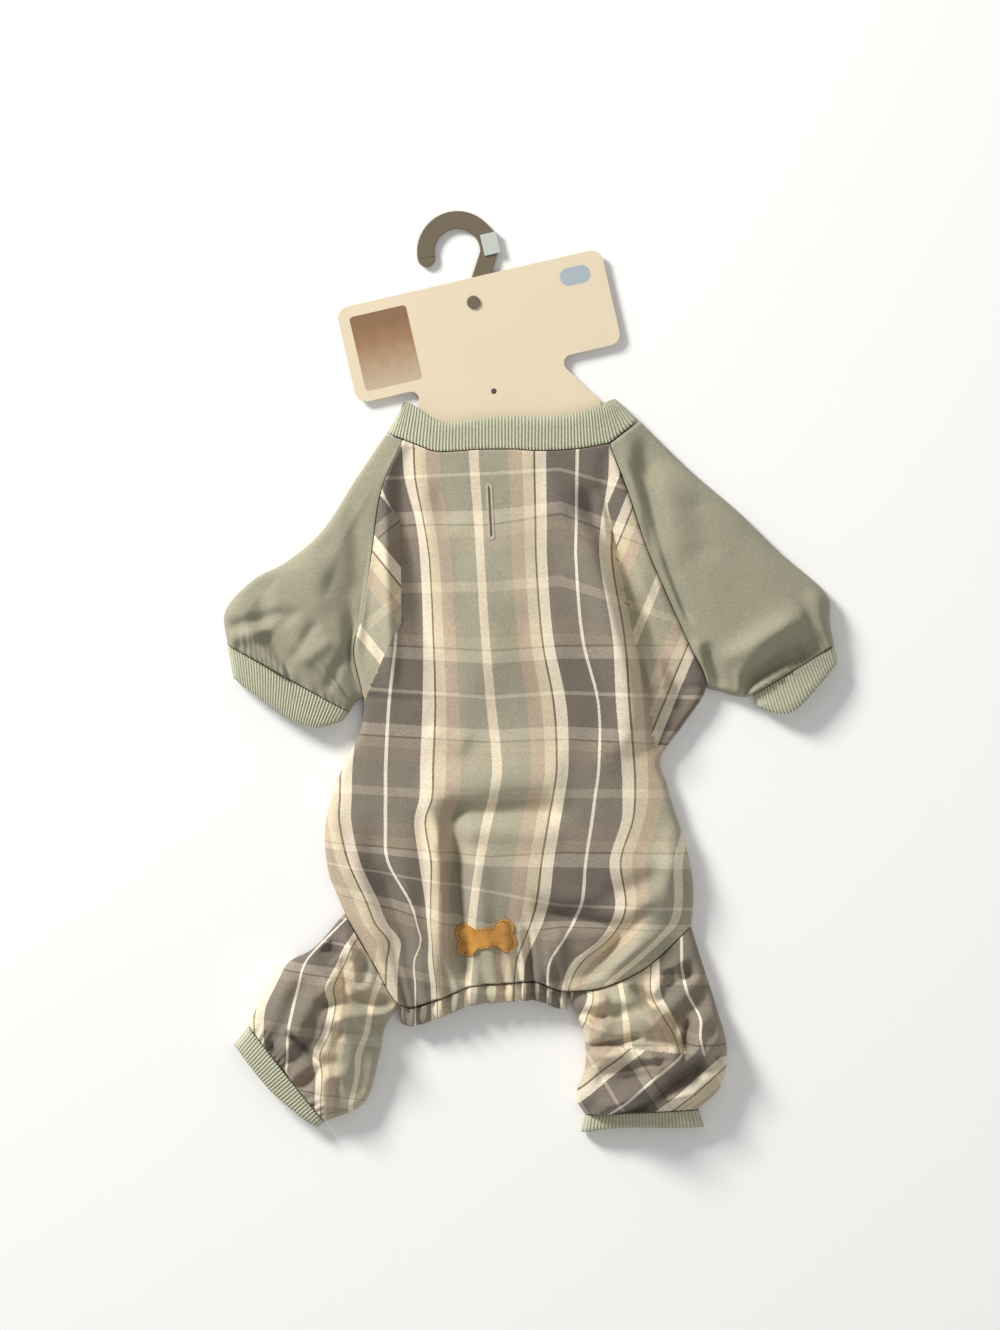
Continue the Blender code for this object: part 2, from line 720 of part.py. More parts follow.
def cut_slot(body, surface):
    """Cuts the leash slot through the upper cloth only."""
    centre = slot_centre()
    middle = height_on(surface, centre)
    bm = bmesh.new()
    bmesh.ops.create_cube(bm, size=1)
    bmesh.ops.scale(bm, vec=(SLOT_WIDTH, SLOT_LENGTH, 2 * FLAT_HEIGHT - 2 * CLOTH), verts=bm.verts)
    bmesh.ops.rotate(bm, matrix=Matrix.Rotation(SLOT_LEAN, 3, "Z"), verts=bm.verts)
    bmesh.ops.translate(bm, vec=(*centre, middle), verts=bm.verts)
    cutter = object_of("slot_cutter", bm, thread, smooth=False)
    garment.objects.unlink(cutter)
    cutters.objects.link(cutter)
    cutter.hide_render = True
    cutter.display_type = "WIRE"
    cut = body.modifiers.new("slot", "BOOLEAN")
    cut.operation = "DIFFERENCE"
    cut.solver = "EXACT"
    cut.object = cutter


def bone_outline():
    """A bone lying along X: a lobe at each corner, joined by a narrower middle."""
    lobe = PATCH_HEIGHT * 0.29
    out = PATCH_LENGTH / 2 - lobe
    up = PATCH_HEIGHT / 2 - lobe
    waist = PATCH_HEIGHT * 0.28
    # One quarter, from the middle of the end to the middle of the upper side, then turned round
    quarter = [Vector((out + lobe * 0.72, 0.0))]
    for i in range(6):
        angle = math.radians(-20 + 34 * i)
        quarter.append(Vector((out, up)) + lobe * Vector((math.cos(angle), math.sin(angle))))
    quarter.append(Vector((out - 1.55 * lobe, waist)))
    places = quarter + [Vector((-p.x, p.y)) for p in reversed(quarter)]
    places += [Vector((-p.x, -p.y)) for p in quarter[1:]]
    places += [Vector((p.x, -p.y)) for p in reversed(quarter[1:])]
    return places


def make_patch(surface):
    middle = body_plan(0.5, PATCH_DOWN)
    centre = Vector((PATCH_SIDE * BODY_WIDTH, middle.y))
    outline = [turned(p, centre, PATCH_TURN) for p in bone_outline()]
    return draped_plate("bone_patch", surface, outline, [], LAID_ON, PATCH_THICKNESS, leather)


def card_place(side, down):
    """A place on the card, from its middle line and its top edge."""
    top = Vector((CARD_TOP_SIDE, CARD_TOP_UP))
    return top + Matrix.Rotation(CARD_TURN, 2) @ Vector((side, -down))


def card_outline():
    """Half of the card from its top edge down, mirrored. Corners are arcs."""

    def arc(side, down, radius, first, last, steps=4):
        angles = [math.radians(first + (last - first) * i / steps) for i in range(steps + 1)]
        return [(side + radius * math.cos(a), down - radius * math.sin(a)) for a in angles]

    half = HEADER_WIDTH / 2
    neck = CARD_NECK_WIDTH / 2
    shoulder = CARD_SHOULDER_WIDTH / 2
    corner = HEADER_CORNER
    notch = HEADER_CORNER * 0.7
    widen = shoulder - neck
    places = arc(half - corner, corner, corner, 90, 0)
    places += arc(half - corner, HEADER_HEIGHT - corner, corner, 0, -90)
    places += arc(neck + notch, HEADER_HEIGHT + notch, notch, 90, 215)
    places += arc(shoulder - corner, HEADER_HEIGHT + notch * 2 + widen + corner, corner, 45, 0)
    places += arc(neck - corner, CARD_LENGTH - corner, corner, 0, -90)
    return places + [(-side, down) for side, down in reversed(places)]


def circle_places(side, down, radius, steps=16):
    angles = [2 * math.pi * i / steps for i in range(steps)]
    return [(side + radius * math.cos(a), down + radius * math.sin(a)) for a in angles]


def flat_plate(name, outline, holes, bottom, thickness, material):
    bm = filled_outline([outline, *holes], bottom)
    made = bmesh.ops.extrude_face_region(bm, geom=bm.faces[:])
    for item in made["geom"]:
        if isinstance(item, bmesh.types.BMVert):
            item.co.z += thickness
    return object_of(name, bm, material, smooth=False)


def make_card():
    outline = [card_place(*place) for place in card_outline()]
    stud_hole = [card_place(*p) for p in circle_places(0, STUD_DOWN, STUD_SHAFT / 2 + FIT)]
    tag_hole = [card_place(*p) for p in circle_places(0, TAG_HOLE_DOWN, TAG_HOLE / 2)]
    return flat_plate("card", outline, [stud_hole, tag_hole], CARD_BOTTOM, CARD_THICKNESS, board)


def hook_stem():
    """The stud's place, the stem's direction up from it, and the middle of the hook's arc."""
    stud = card_place(0, STUD_DOWN)
    up = Vector((math.sin(STEM_LEAN), math.cos(STEM_LEAN)))
    top = stud + HOOK_RISE * up
    return stud, up, top - Vector((HOOK_RADIUS, 0))


def hook_outline():
    """The band along its middle line: round boss at the stud, stem, arc and round tip."""
    stud, up, middle = hook_stem()
    half = HOOK_BAND / 2
    steps = 20
    line = [(stud, up)]
    for i in range(steps + 1):
        angle = HOOK_TIP_ANGLE * i / steps
        spoke = Vector((math.cos(angle), math.sin(angle)))
        line.append((middle + HOOK_RADIUS * spoke, Vector((-spoke.y, spoke.x))))
    right = [place + half * Vector((way.y, -way.x)) for place, way in line]
    left = [place - half * Vector((way.y, -way.x)) for place, way in line]

    def cap(place, way, ends):
        across = Vector((way.y, -way.x))
        return [place + half * (math.cos(a) * across + math.sin(a) * way) for a in ends]

    tip = cap(*line[-1], [math.pi * i / 6 for i in range(1, 6)])
    boss = cap(*line[0], [math.pi + math.pi * i / 6 for i in range(1, 6)])
    return right + tip + list(reversed(left)) + boss


def add_stud(hook, stud):
    """Joins the stud to the stem: a shaft through the card's hole and a low head over the card."""
    head_bottom = CARD_TOP + FIT
    overlap = HOOK_THICKNESS / 2
    shaft_bottom = HOOK_BOTTOM + HOOK_THICKNESS - overlap
    for name, radius, low, high in (
        ("stud_shaft", STUD_SHAFT / 2, shaft_bottom, head_bottom + STUD_HEAD_HEIGHT / 2),
        ("stud_head", STUD_HEAD / 2, head_bottom, head_bottom + STUD_HEAD_HEIGHT),
    ):
        bm = bmesh.new()
        bmesh.ops.create_cone(
            bm, cap_ends=True, segments=24, radius1=radius, radius2=radius, depth=high - low
        )
        bmesh.ops.translate(bm, vec=(*stud, (low + high) / 2), verts=bm.verts)
        piece = object_of(name, bm, taupe, smooth=False)
        garment.objects.unlink(piece)
        cutters.objects.link(piece)
        piece.hide_render = True
        piece.display_type = "WIRE"
        join = hook.modifiers.new(name, "BOOLEAN")
        join.operation = "UNION"
        join.solver = "EXACT"
        join.object = piece


def make_hook():
    stud, _, _ = hook_stem()
    made = flat_plate("hook", hook_outline(), [], HOOK_BOTTOM, HOOK_THICKNESS, taupe)
    add_stud(made, stud)
    return made


def make_clip():
    """A channel pushed over the band's outer edge, like the clips that show a hanger's size."""
    _, _, middle = hook_stem()
    height = HOOK_THICKNESS + 2 * CLIP_WALL + 2 * CLIP_CLEAR
    far = HOOK_RADIUS + HOOK_BAND / 2 + FIT + CLIP_WALL
    near = far - CLIP_WIDTH
    channel = [
        (near, 0),
        (far, 0),
        (far, height),
        (near, height),
        (near, height - CLIP_WALL),
        (far - CLIP_WALL, height - CLIP_WALL),
        (far - CLIP_WALL, CLIP_WALL),
        (near, CLIP_WALL),
    ]
    bm = bmesh.new()
    verts = [bm.verts.new((x, -CLIP_LENGTH / 2, z)) for x, z in channel]
    bm.faces.new(verts)
    made = bmesh.ops.extrude_face_region(bm, geom=bm.faces[:])
    for item in made["geom"]:
        if isinstance(item, bmesh.types.BMVert):
            item.co.y += CLIP_LENGTH
    bmesh.ops.rotate(bm, matrix=Matrix.Rotation(CLIP_ANGLE, 3, "Z"), verts=bm.verts)
    bmesh.ops.translate(bm, vec=(*middle, 0), verts=bm.verts)
    return object_of("size_clip", bm, pale_plastic, smooth=False)


def move_to_middle():
    """Puts the middle of the footprint over the origin and the lowest point on z = 0."""
    bpy.context.view_layer.update()
    graph = bpy.context.evaluated_depsgraph_get()
    corners = []
    for made in garment.objects:
        if made.type != "MESH":
            continue
        evaluated = made.evaluated_get(graph)
        mesh = evaluated.to_mesh()
        corners += [evaluated.matrix_world @ vert.co for vert in mesh.vertices]
        evaluated.to_mesh_clear()
    low = Vector(min(corner[i] for corner in corners) for i in range(3))
    high = Vector(max(corner[i] for corner in corners) for i in range(3))
    middle = (low + high) / 2
    root.location = (-middle.x, -middle.y, -low.z)


for old in list(bpy.data.objects):
    bpy.data.objects.remove(old, do_unlink=True)

garment = bpy.data.collections.new("dog_jumpsuit")
cutters = bpy.data.collections.new("cutters")
bpy.context.scene.collection.children.link(garment)
bpy.context.scene.collection.children.link(cutters)
root = bpy.data.objects.new("jumpsuit_root", None)
garment.objects.link(root)

plaid = material_of("plaid_fleece", (0.36, 0.32, 0.27), 0.9)
sage = material_of("sage_fleece", (0.32, 0.31, 0.24), 0.9)
rib = material_of("sage_rib", (0.36, 0.38, 0.28), 0.9)
leather = material_of("tan_leather", (0.53, 0.26, 0.06), 0.55)
thread = material_of("pale_thread", (0.68, 0.65, 0.55), 0.7)
board = material_of("cream_card", (0.83, 0.73, 0.57), 0.6)
taupe = material_of("taupe_plastic", (0.18, 0.14, 0.10), 0.45)
pale_plastic = material_of("pale_plastic", (0.52, 0.56, 0.50), 0.4)

body = make_body()
back = BVHTree.FromPolygons(
    [vert.co for vert in body.data.vertices], [face.vertices for face in body.data.polygons]
)
cut_slot(body, back)
make_tube("left_sleeve", LEFT_SLEEVE_ROWS, SLEEVE_LENGTH, SLEEVE_RISE, sleeve_root(0),
          LEFT_SLEEVE_FOLDS, SLEEVE_COLUMNS, SLEEVE_STATIONS, sage)
make_tube("right_sleeve", RIGHT_SLEEVE_ROWS, SLEEVE_LENGTH, SLEEVE_RISE, sleeve_root(1),
          RIGHT_SLEEVE_FOLDS, SLEEVE_COLUMNS, SLEEVE_STATIONS, sage)
make_tube("left_leg", LEFT_LEG_ROWS, LEG_LENGTH, LEG_RISE, leg_root(LEFT_LEG_SPAN, True),
          LEFT_LEG_FOLDS, LEFT_LEG_COLUMNS, LEG_STATIONS, plaid)
make_tube("right_leg", RIGHT_LEG_ROWS, LEG_LENGTH, LEG_RISE, leg_root(RIGHT_LEG_SPAN, False),
          RIGHT_LEG_FOLDS, RIGHT_LEG_COLUMNS, LEG_STATIONS, plaid)
# The collar's lower cloth stands up to the card, which rests on it
make_band("collar", collar_seam, COLLAR_BAND, COLLAR_WIDTH, COLLAR_RISE, COLLAR_COLUMNS, RIB_CLOTH, rib,
          lift=CARD_BOTTOM - FIT - RIB_CLOTH)
make_band("left_sleeve_cuff", end_of(LEFT_SLEEVE_ROWS, SLEEVE_LENGTH, sleeve_root(0)),
          LEFT_SLEEVE_BAND, SLEEVE_CUFF_WIDTH, CUFF_RISE, SLEEVE_COLUMNS, RIB_CLOTH, rib)
make_band("right_sleeve_cuff", end_of(RIGHT_SLEEVE_ROWS, SLEEVE_LENGTH, sleeve_root(1)),
          RIGHT_SLEEVE_BAND, SLEEVE_CUFF_WIDTH, CUFF_RISE, SLEEVE_COLUMNS, RIB_CLOTH, rib)
make_band("left_leg_cuff", end_of(LEFT_LEG_ROWS, LEG_LENGTH, leg_root(LEFT_LEG_SPAN, True)),
          LEFT_LEG_BAND, LEG_CUFF_WIDTH, CUFF_RISE, LEFT_LEG_COLUMNS, RIB_CLOTH, rib)
make_band("right_leg_cuff", end_of(RIGHT_LEG_ROWS, LEG_LENGTH, leg_root(RIGHT_LEG_SPAN, False)),
          RIGHT_LEG_BAND, LEG_CUFF_WIDTH, CUFF_RISE, RIGHT_LEG_COLUMNS, RIB_CLOTH, rib)
make_hem()
make_slot_binding(back)
make_patch(back)
make_card()
make_hook()
make_clip()
move_to_middle()
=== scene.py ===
"""Dog jumpsuit on its card hanger, lying back up on a pale table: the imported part, dressed in finer cloth."""

import functools
import math
from collections import namedtuple

import bmesh
import bpy
from mathutils import Matrix, Vector, noise
from mathutils.bvhtree import BVHTree


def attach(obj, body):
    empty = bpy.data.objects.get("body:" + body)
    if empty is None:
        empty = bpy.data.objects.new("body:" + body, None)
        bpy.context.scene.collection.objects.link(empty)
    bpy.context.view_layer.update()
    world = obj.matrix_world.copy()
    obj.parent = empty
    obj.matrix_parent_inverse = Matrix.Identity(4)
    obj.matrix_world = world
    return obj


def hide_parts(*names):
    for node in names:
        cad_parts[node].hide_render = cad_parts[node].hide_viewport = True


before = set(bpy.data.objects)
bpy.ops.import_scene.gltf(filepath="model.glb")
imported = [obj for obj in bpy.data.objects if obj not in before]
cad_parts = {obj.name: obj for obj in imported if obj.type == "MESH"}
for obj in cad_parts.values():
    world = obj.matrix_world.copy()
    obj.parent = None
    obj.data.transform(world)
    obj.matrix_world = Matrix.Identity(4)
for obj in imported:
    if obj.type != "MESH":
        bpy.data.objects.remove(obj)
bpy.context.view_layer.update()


# Table, camera and lights. The garment lies on a plain white table and is seen from straight above, far
# off, under one large soft light from the upper left and a weaker one from the right.
MM = 0.001
VIEW_CENTRE = (-0.0217, 0.0046)
VIEW_HEIGHT = 0.931
CAMERA_DISTANCE = 3.0

table_mesh = bmesh.new()
bmesh.ops.create_grid(table_mesh, x_segments=4, y_segments=4, size=2.5)
bmesh.ops.translate(table_mesh, vec=(0, 0, -0.0004), verts=table_mesh.verts)
table_data = bpy.data.meshes.new("white_table")
table_mesh.to_mesh(table_data)
table_mesh.free()
table = bpy.data.objects.new("white_table", table_data)
bpy.context.scene.collection.objects.link(table)

camera_data = bpy.data.cameras.new("overhead_camera")
camera_data.sensor_width = 36.0
camera_data.lens = 36.0 * CAMERA_DISTANCE / VIEW_HEIGHT
camera = bpy.data.objects.new("overhead_camera", camera_data)
camera.location = (*VIEW_CENTRE, CAMERA_DISTANCE)
bpy.context.scene.collection.objects.link(camera)
bpy.context.scene.camera = camera

for name, place, size, power in (
    ("window_light", (-2.5, 2.3, 1.8), 1.0, 172.0),
    ("room_light", (0.9, -0.5, 2.0), 1.6, 6.0),
):
    light_data = bpy.data.lights.new(name, "AREA")
    light_data.size = size
    light_data.energy = power
    light_data.color = (1.0, 0.985, 0.96)
    light = bpy.data.objects.new(name, light_data)
    light.location = place
    light.rotation_euler = (-Vector(place)).to_track_quat("-Z", "Y").to_euler()
    bpy.context.scene.collection.objects.link(light)

room = bpy.data.worlds.new("pale_room")
room.use_nodes = True
room.node_tree.nodes["Background"].inputs["Color"].default_value = (1.0, 1.0, 1.0, 1)
room.node_tree.nodes["Background"].inputs["Strength"].default_value = 0.36
bpy.context.scene.world = room
bpy.context.scene.view_settings.view_transform = "Standard"


def linear(colour):
    """A colour given in sRGB hex, as the linear values that a shader takes."""
    shares = [int(colour[i : i + 2], 16) / 255 for i in (0, 2, 4)]
    return (*[s / 12.92 if s <= 0.04045 else ((s + 0.055) / 1.055) ** 2.4 for s in shares], 1.0)


def add_node(tree, kind, settings=None, inputs=None):
    """Adds a node with its settings, and sets or links its inputs, which are named or counted."""
    made = tree.nodes.new(kind)
    for name, value in (settings or {}).items():
        setattr(made, name, value)
    for name, value in (inputs or {}).items():
        if isinstance(value, bpy.types.NodeSocket):
            tree.links.new(value, made.inputs[name])
        else:
            made.inputs[name].default_value = value
    return made


def new_material(name, roughness):
    """A material with a Principled shader, and its node tree and shader."""
    made = bpy.data.materials.new(name)
    made.use_nodes = True
    shader = made.node_tree.nodes["Principled BSDF"]
    shader.inputs["Roughness"].default_value = roughness
    return made, made.node_tree, shader


# Painted board, matt and even
table_paint, tree, shader = new_material("white_table_paint", 0.9)
shader.inputs["Base Color"].default_value = linear("FFFFFE")
grain = add_node(tree, "ShaderNodeTexNoise", inputs={"Scale": 60.0, "Detail": 4.0})
bump = add_node(
    tree, "ShaderNodeBump", inputs={"Strength": 0.02, "Distance": 0.001, "Height": grain.outputs["Fac"]}
)
tree.links.new(bump.outputs["Normal"], shader.inputs["Normal"])
table.data.materials.append(table_paint)


# Body. A tube of brushed plaid fleece, the back and the belly in one, cut away at its sides for the raglan
# sleeves and below for the hind legs. It was woven from dyed yarn and brushed until the threads blur.
PLAN_X, PLAN_Y = -0.01752, 0.15579
CLOTH = 0.0016
SEAM_GAP = 0.0008
EDGE_RADIUS = 0.0042
FLAT_HEIGHT = 2 * EDGE_RADIUS
LEAST_HEIGHT = 0.0064
FOLD_DEPTH = 0.010
BACK_LENGTH = 0.384
BODY_WIDTH = 0.256
BODY_RISE = 0.017
RAGLAN_END = 0.45
LEFT_LEG_SPAN = (0.0, 0.16)
TAIL_SPAN = (0.16, 0.64)
RIGHT_LEG_SPAN = (0.64, 1.0)
GATHERS = 11
GATHER_DEPTH = 0.0036

BodyRow = namedtuple("BodyRow", "down left_x left_y right_x right_y drop rise")
BODY_ROWS = (
    BodyRow(0.00, -0.281, -0.016, 0.281, -0.009, 0.018, 0.45),
    BodyRow(0.09, -0.339, 0.075, 0.333, 0.082, 0.011, 0.52),
    BodyRow(0.20, -0.366, 0.192, 0.385, 0.184, 0.015, 0.60),
    BodyRow(0.30, -0.391, 0.297, 0.451, 0.286, 0.011, 0.65),
    BodyRow(0.38, -0.415, 0.370, 0.500, 0.358, 0.018, 0.66),
    BodyRow(0.45, -0.391, 0.454, 0.546, 0.434, 0.007, 0.66),
    BodyRow(0.50, -0.398, 0.513, 0.484, 0.502, 0.000, 0.62),
    BodyRow(0.56, -0.434, 0.562, 0.423, 0.562, 0.005, 0.66),
    BodyRow(0.64, -0.462, 0.608, 0.440, 0.613, 0.036, 0.85),
    BodyRow(0.72, -0.484, 0.655, 0.462, 0.662, 0.068, 1.00),
    BodyRow(0.80, -0.495, 0.710, 0.489, 0.717, 0.091, 1.00),
    BodyRow(0.88, -0.484, 0.772, 0.508, 0.777, 0.109, 0.86),
    BodyRow(0.94, -0.462, 0.810, 0.511, 0.823, 0.128, 0.68),
    BodyRow(1.00, -0.440, 0.845, 0.505, 0.869, 0.137, 0.50),
)
HangPoint = namedtuple("HangPoint", "across hang")
ROW_HANG = (
    HangPoint(0.00, 0.00),
    HangPoint(0.08, 0.62),
    HangPoint(0.16, 1.18),
    HangPoint(0.27, 1.09),
    HangPoint(0.36, 0.91),
    HangPoint(0.47, 0.84),
    HangPoint(0.55, 0.81),
    HangPoint(0.62, 0.91),
    HangPoint(0.69, 0.90),
    HangPoint(0.75, 0.84),
    HangPoint(0.87, 0.56),
    HangPoint(1.00, 0.00),
)

# The wide folds, from one place to another across and along a piece, with their width and their depth as a
# share of FOLD_DEPTH
Fold = namedtuple("Fold", "from_across from_along to_across to_along width depth")
BODY_FOLDS = (
    Fold(0.04, 0.04, 0.24, 0.38, 0.050, -0.55),
    Fold(0.17, 0.10, 0.33, 0.40, 0.060, 0.25),
    Fold(0.84, 0.12, 0.93, 0.50, 0.040, -0.95),
    Fold(0.72, 0.10, 0.84, 0.52, 0.060, 0.45),
    Fold(0.33, 0.665, 0.64, 0.640, 0.022, -0.40),
    Fold(0.30, 0.610, 0.66, 0.590, 0.040, 0.45),
    Fold(0.36, 0.68, 0.37, 0.98, 0.030, -0.60),
    Fold(0.27, 0.66, 0.30, 0.80, 0.030, -0.40),
    Fold(0.31, 0.70, 0.33, 0.86, 0.030, 0.35),
    Fold(0.60, 0.845, 0.90, 0.830, 0.025, -0.50),
    Fold(0.14, 0.72, 0.22, 0.98, 0.040, -0.50),
    Fold(0.08, 0.80, 0.15, 0.98, 0.035, 0.30),
    Fold(0.98, 0.78, 0.78, 0.97, 0.040, 0.45),
    Fold(0.50, 0.93, 0.56, 1.00, 0.035, -0.30),
)

# Soft and sharp folds seen in the back, in mm from the middle of the collar seam, x to the right and y down
# towards the tail. depth is negative in a valley, and step raises the side left of the fold's run over the
# other one.
# Every crease is this many times as deep as its row says
CREASE_DEPTH = 1.7
Crease = namedtuple("Crease", "from_x from_y to_x to_y width depth step")
BACK_CREASES = (
    Crease(67.9, 39.2, 103.6, 205.1, 6.0, -5.0, -4.0),
    Crease(58.8, 49.7, 88.2, 200.2, 11.0, 4.5, 0.0),
    Crease(88.2, 77.7, 113.4, 200.2, 10.0, 2.5, 0.0),
    Crease(93.8, 105.7, 110.6, 193.2, 4.0, -2.5, 0.0),
    Crease(-72.8, 14.7, -57.4, 133.7, 9.0, -3.0, 0.0),
    Crease(-84, 39.2, -79.8, 168.7, 5.0, 3.0, 0.0),
    Crease(-93.8, 49.7, -98, 147.7, 5.0, -2.5, 0.0),
    Crease(-46.2, 249.9, 42, 254.1, 7.0, -3.2, 0.8),
    Crease(-35.7, 263.9, 37.8, 269.5, 11.0, 2.6, 0.0),
    Crease(-57.4, 245.7, -44.8, 280.7, 5.0, 2.6, 0.0),
    Crease(-37.8, 258.3, -30.8, 375.2, 6.0, -5.5, 0.0),
    Crease(-48.3, 272.3, -46.2, 375.2, 5.0, 2.8, 0.0),
    Crease(-19.6, 280.7, -18.2, 336.7, 9.0, 2.4, 0.0),
    Crease(-74.2, 289.1, -51.8, 385.7, 6.0, 2.5, 0.0),
    Crease(-85.4, 293.3, -63, 357.7, 5.0, -3.2, 0.0),
    Crease(-107.8, 280.7, -79.8, 350.7, 6.0, 2.0, 0.0),
    Crease(29.4, 322, 85.4, 333.2, 5.0, -3.0, 1.8),
    Crease(85.4, 333.2, 50.4, 375.2, 7.0, -4.0, 0.0),
    Crease(37.8, 314.3, 107.8, 317.1, 8.0, 2.4, 0.0),
    Crease(37.8, 333.2, 27.3, 375.2, 7.0, 2.8, 0.0),
    Crease(14, 336.7, 19.6, 378.7, 4.0, -3.0, 0.0),
    Crease(119, 280.7, 109.2, 333.2, 7.0, 2.4, 0.0),
    Crease(110.6, 333.2, 70, 370.3, 8.0, 3.6, 0.0),
    Crease(100.8, 319.2, 65.8, 359.1, 5.0, -2.6, 0.0),
    Crease(-53.2, 196.7, -25.2, 207.2, 9.0, 1.6, 0.0),
    Crease(-25.2, 77.7, -4.2, 161.7, 14.0, 1.4, 0.0),
    Crease(9.8, 105.7, 29.4, 189.7, 12.0, -1.3, 0.0),
    Crease(9.8, 4.2, 37.8, 49.7, 12.0, 1.2, 0.0),
    Crease(-53.2, 4.2, -39.2, 56.7, 9.0, -1.1, 0.0),
    Crease(72.8, 0.7, 65.8, 35.7, 8.0, -1.8, 0.0),
    Crease(-123.2, 245.7, -109.2, 315.7, 6.0, 2.0, 0.0),
)

# Where the plaid's lines lie on the back in mm, as the cloth hangs and folds: each column is a yarn line,
# named by its place in the plaid, and its rows go down the back
WarpRow = namedtuple("WarpRow", "down left_edge left_white left_brown centre right_white right_edge side")
BACK_WARP = (
    WarpRow(-13.3, -116.2, -96.6, -65.8, -23.1, 51.8, 72.8, 123.9),
    WarpRow(-2.8, -113.4, -93.8, -64.4, -22.4, 50.4, 72.1, 122.5),
    WarpRow(21.7, -107.8, -89.6, -63, -21, 49.7, 71.4, 121.8),
    WarpRow(51.1, -98, -77, -57.4, -18.9, 49.3, 66.5, 121.1),
    WarpRow(77.7, -97.3, -76.3, -53.2, -17.5, 49, 65.1, 121.1),
    WarpRow(133.7, -97.3, -76.3, -50.4, -14, 53.9, 74.2, 126),
    WarpRow(179.2, -102.2, -81.2, -49, -10.1, 65.1, 76.3, 135.8),
    WarpRow(221.9, -106.4, -83.3, -50.4, -5.6, 65.1, 80.5, 137.2),
    WarpRow(243.6, -106.8, -83.3, -51.1, -8.4, 62.3, 81.2, 135.8),
    WarpRow(259.7, -107.1, -83.3, -56, -12.6, 60.2, 80.5, 128.8),
    WarpRow(287.7, -100.8, -81.9, -51.8, -18.2, 56, 72.1, 120.4),
    WarpRow(315.7, -88.2, -65.8, -52.5, -22.4, 53.2, 76.3, 120.4),
    WarpRow(331.1, -81.9, -60.9, -52.5, -23.8, 46.9, 72.8, 116.9),
    WarpRow(343.7, -72.8, -58.8, -51.8, -24.5, 39.2, 63.7, 105),
    WarpRow(357.7, -74.2, -63.7, -50.4, -25.2, 30.8, 46.2, 89.6),
    WarpRow(375.2, -74.9, -63, -48.3, -26.6, 29.4, 39.2, 70),
    WarpRow(399.7, -74.9, -63, -47.6, -28, 29.4, 37.8, 65.8),
)
WARP_THREADS = (-21.5, 0.0, 29.65, 72.0, 144.0, 165.5, 216.0)
WeftRow = namedtuple("WeftRow", "thread left middle right far_right")
BACK_WEFT = (
    WeftRow(-29.65, -8.4, -8.4, -14.7, -14.7),
    WeftRow(0, 20.3, 18.2, 15.4, 31.5),
    WeftRow(29.65, 53.9, 53.9, 46.2, 67.2),
    WeftRow(72, 98, 97.3, 93.1, 112.7),
    WeftRow(114.35, 139.3, 142.1, 138.6, 137.9),
    WeftRow(144, 170.8, 174.3, 170.8, 172.9),
    WeftRow(173.65, 202.3, 205.1, 203, 205.8),
    WeftRow(216, 240.8, 243.6, 240.8, 240.8),
    WeftRow(258.35, 280.7, 284.9, 282.1, 282.8),
    WeftRow(288, 300.3, 308.7, 319.2, 321.3),
    WeftRow(317.65, 326.2, 339.5, 333.2, 335.3),
    WeftRow(360, 368.2, 378.7, 375.2, 361.9),
)
WEFT_COLUMNS = (-60.2, -11.2, 37.8, 93.8)


@functools.lru_cache(maxsize=None)
def read_table(rows, share, column):
    """One column of a table at a share along it, on a smooth curve through its rows."""
    if share <= rows[0][0]:
        return getattr(rows[0], column)
    if share >= rows[-1][0]:
        return getattr(rows[-1], column)
    last = len(rows) - 1
    low = max(i for i in range(last) if rows[i][0] <= share)
    stations = [row[0] for row in rows]
    values = [getattr(row, column) for row in rows]

    def slope(i):
        before, after = max(i - 1, 0), min(i + 1, last)
        return (values[after] - values[before]) / (stations[after] - stations[before])

    step = stations[low + 1] - stations[low]
    t = (share - stations[low]) / step
    return (
        (2 * t**3 - 3 * t**2 + 1) * values[low]
        + (t**3 - 2 * t**2 + t) * step * slope(low)
        + (-2 * t**3 + 3 * t**2) * values[low + 1]
        + (t**3 - t**2) * step * slope(low + 1)
    )


def between(places, values, place):
    """The value at a place between known ones, going on in a straight line past the ends."""
    low = 0
    while low < len(places) - 2 and place > places[low + 1]:
        low += 1
    part = (place - places[low]) / (places[low + 1] - places[low])
    return values[low] + part * (values[low + 1] - values[low])


def smooth(low, high, value):
    t = min(max((value - low) / (high - low), 0.0), 1.0)
    return t * t * (3 - 2 * t)


def dome(share):
    return max(4 * share * (1 - share), 0.0) ** 0.45


def edge_closing(distance):
    """How far a folded edge has still to rise, from 1 at the very edge to 0 at EDGE_RADIUS from it."""
    near = max(1 - distance / EDGE_RADIUS, 0.0)
    return 1 - math.sqrt(1 - near**2)


def fold_height(folds, across, along):
    """The height of the wide folds at a share across and along a piece."""
    total = 0.0
    for fold in folds:
        run_across = fold.to_across - fold.from_across
        run_along = fold.to_along - fold.from_along
        length = run_across**2 + run_along**2
        place = ((across - fold.from_across) * run_across + (along - fold.from_along) * run_along) / length
        nearest = min(max(place, 0.0), 1.0)
        off_across = across - fold.from_across - nearest * run_across
        off_along = along - fold.from_along - nearest * run_along
        total += fold.depth * math.exp(-(off_across**2 + off_along**2) / fold.width**2)
    return FOLD_DEPTH * total


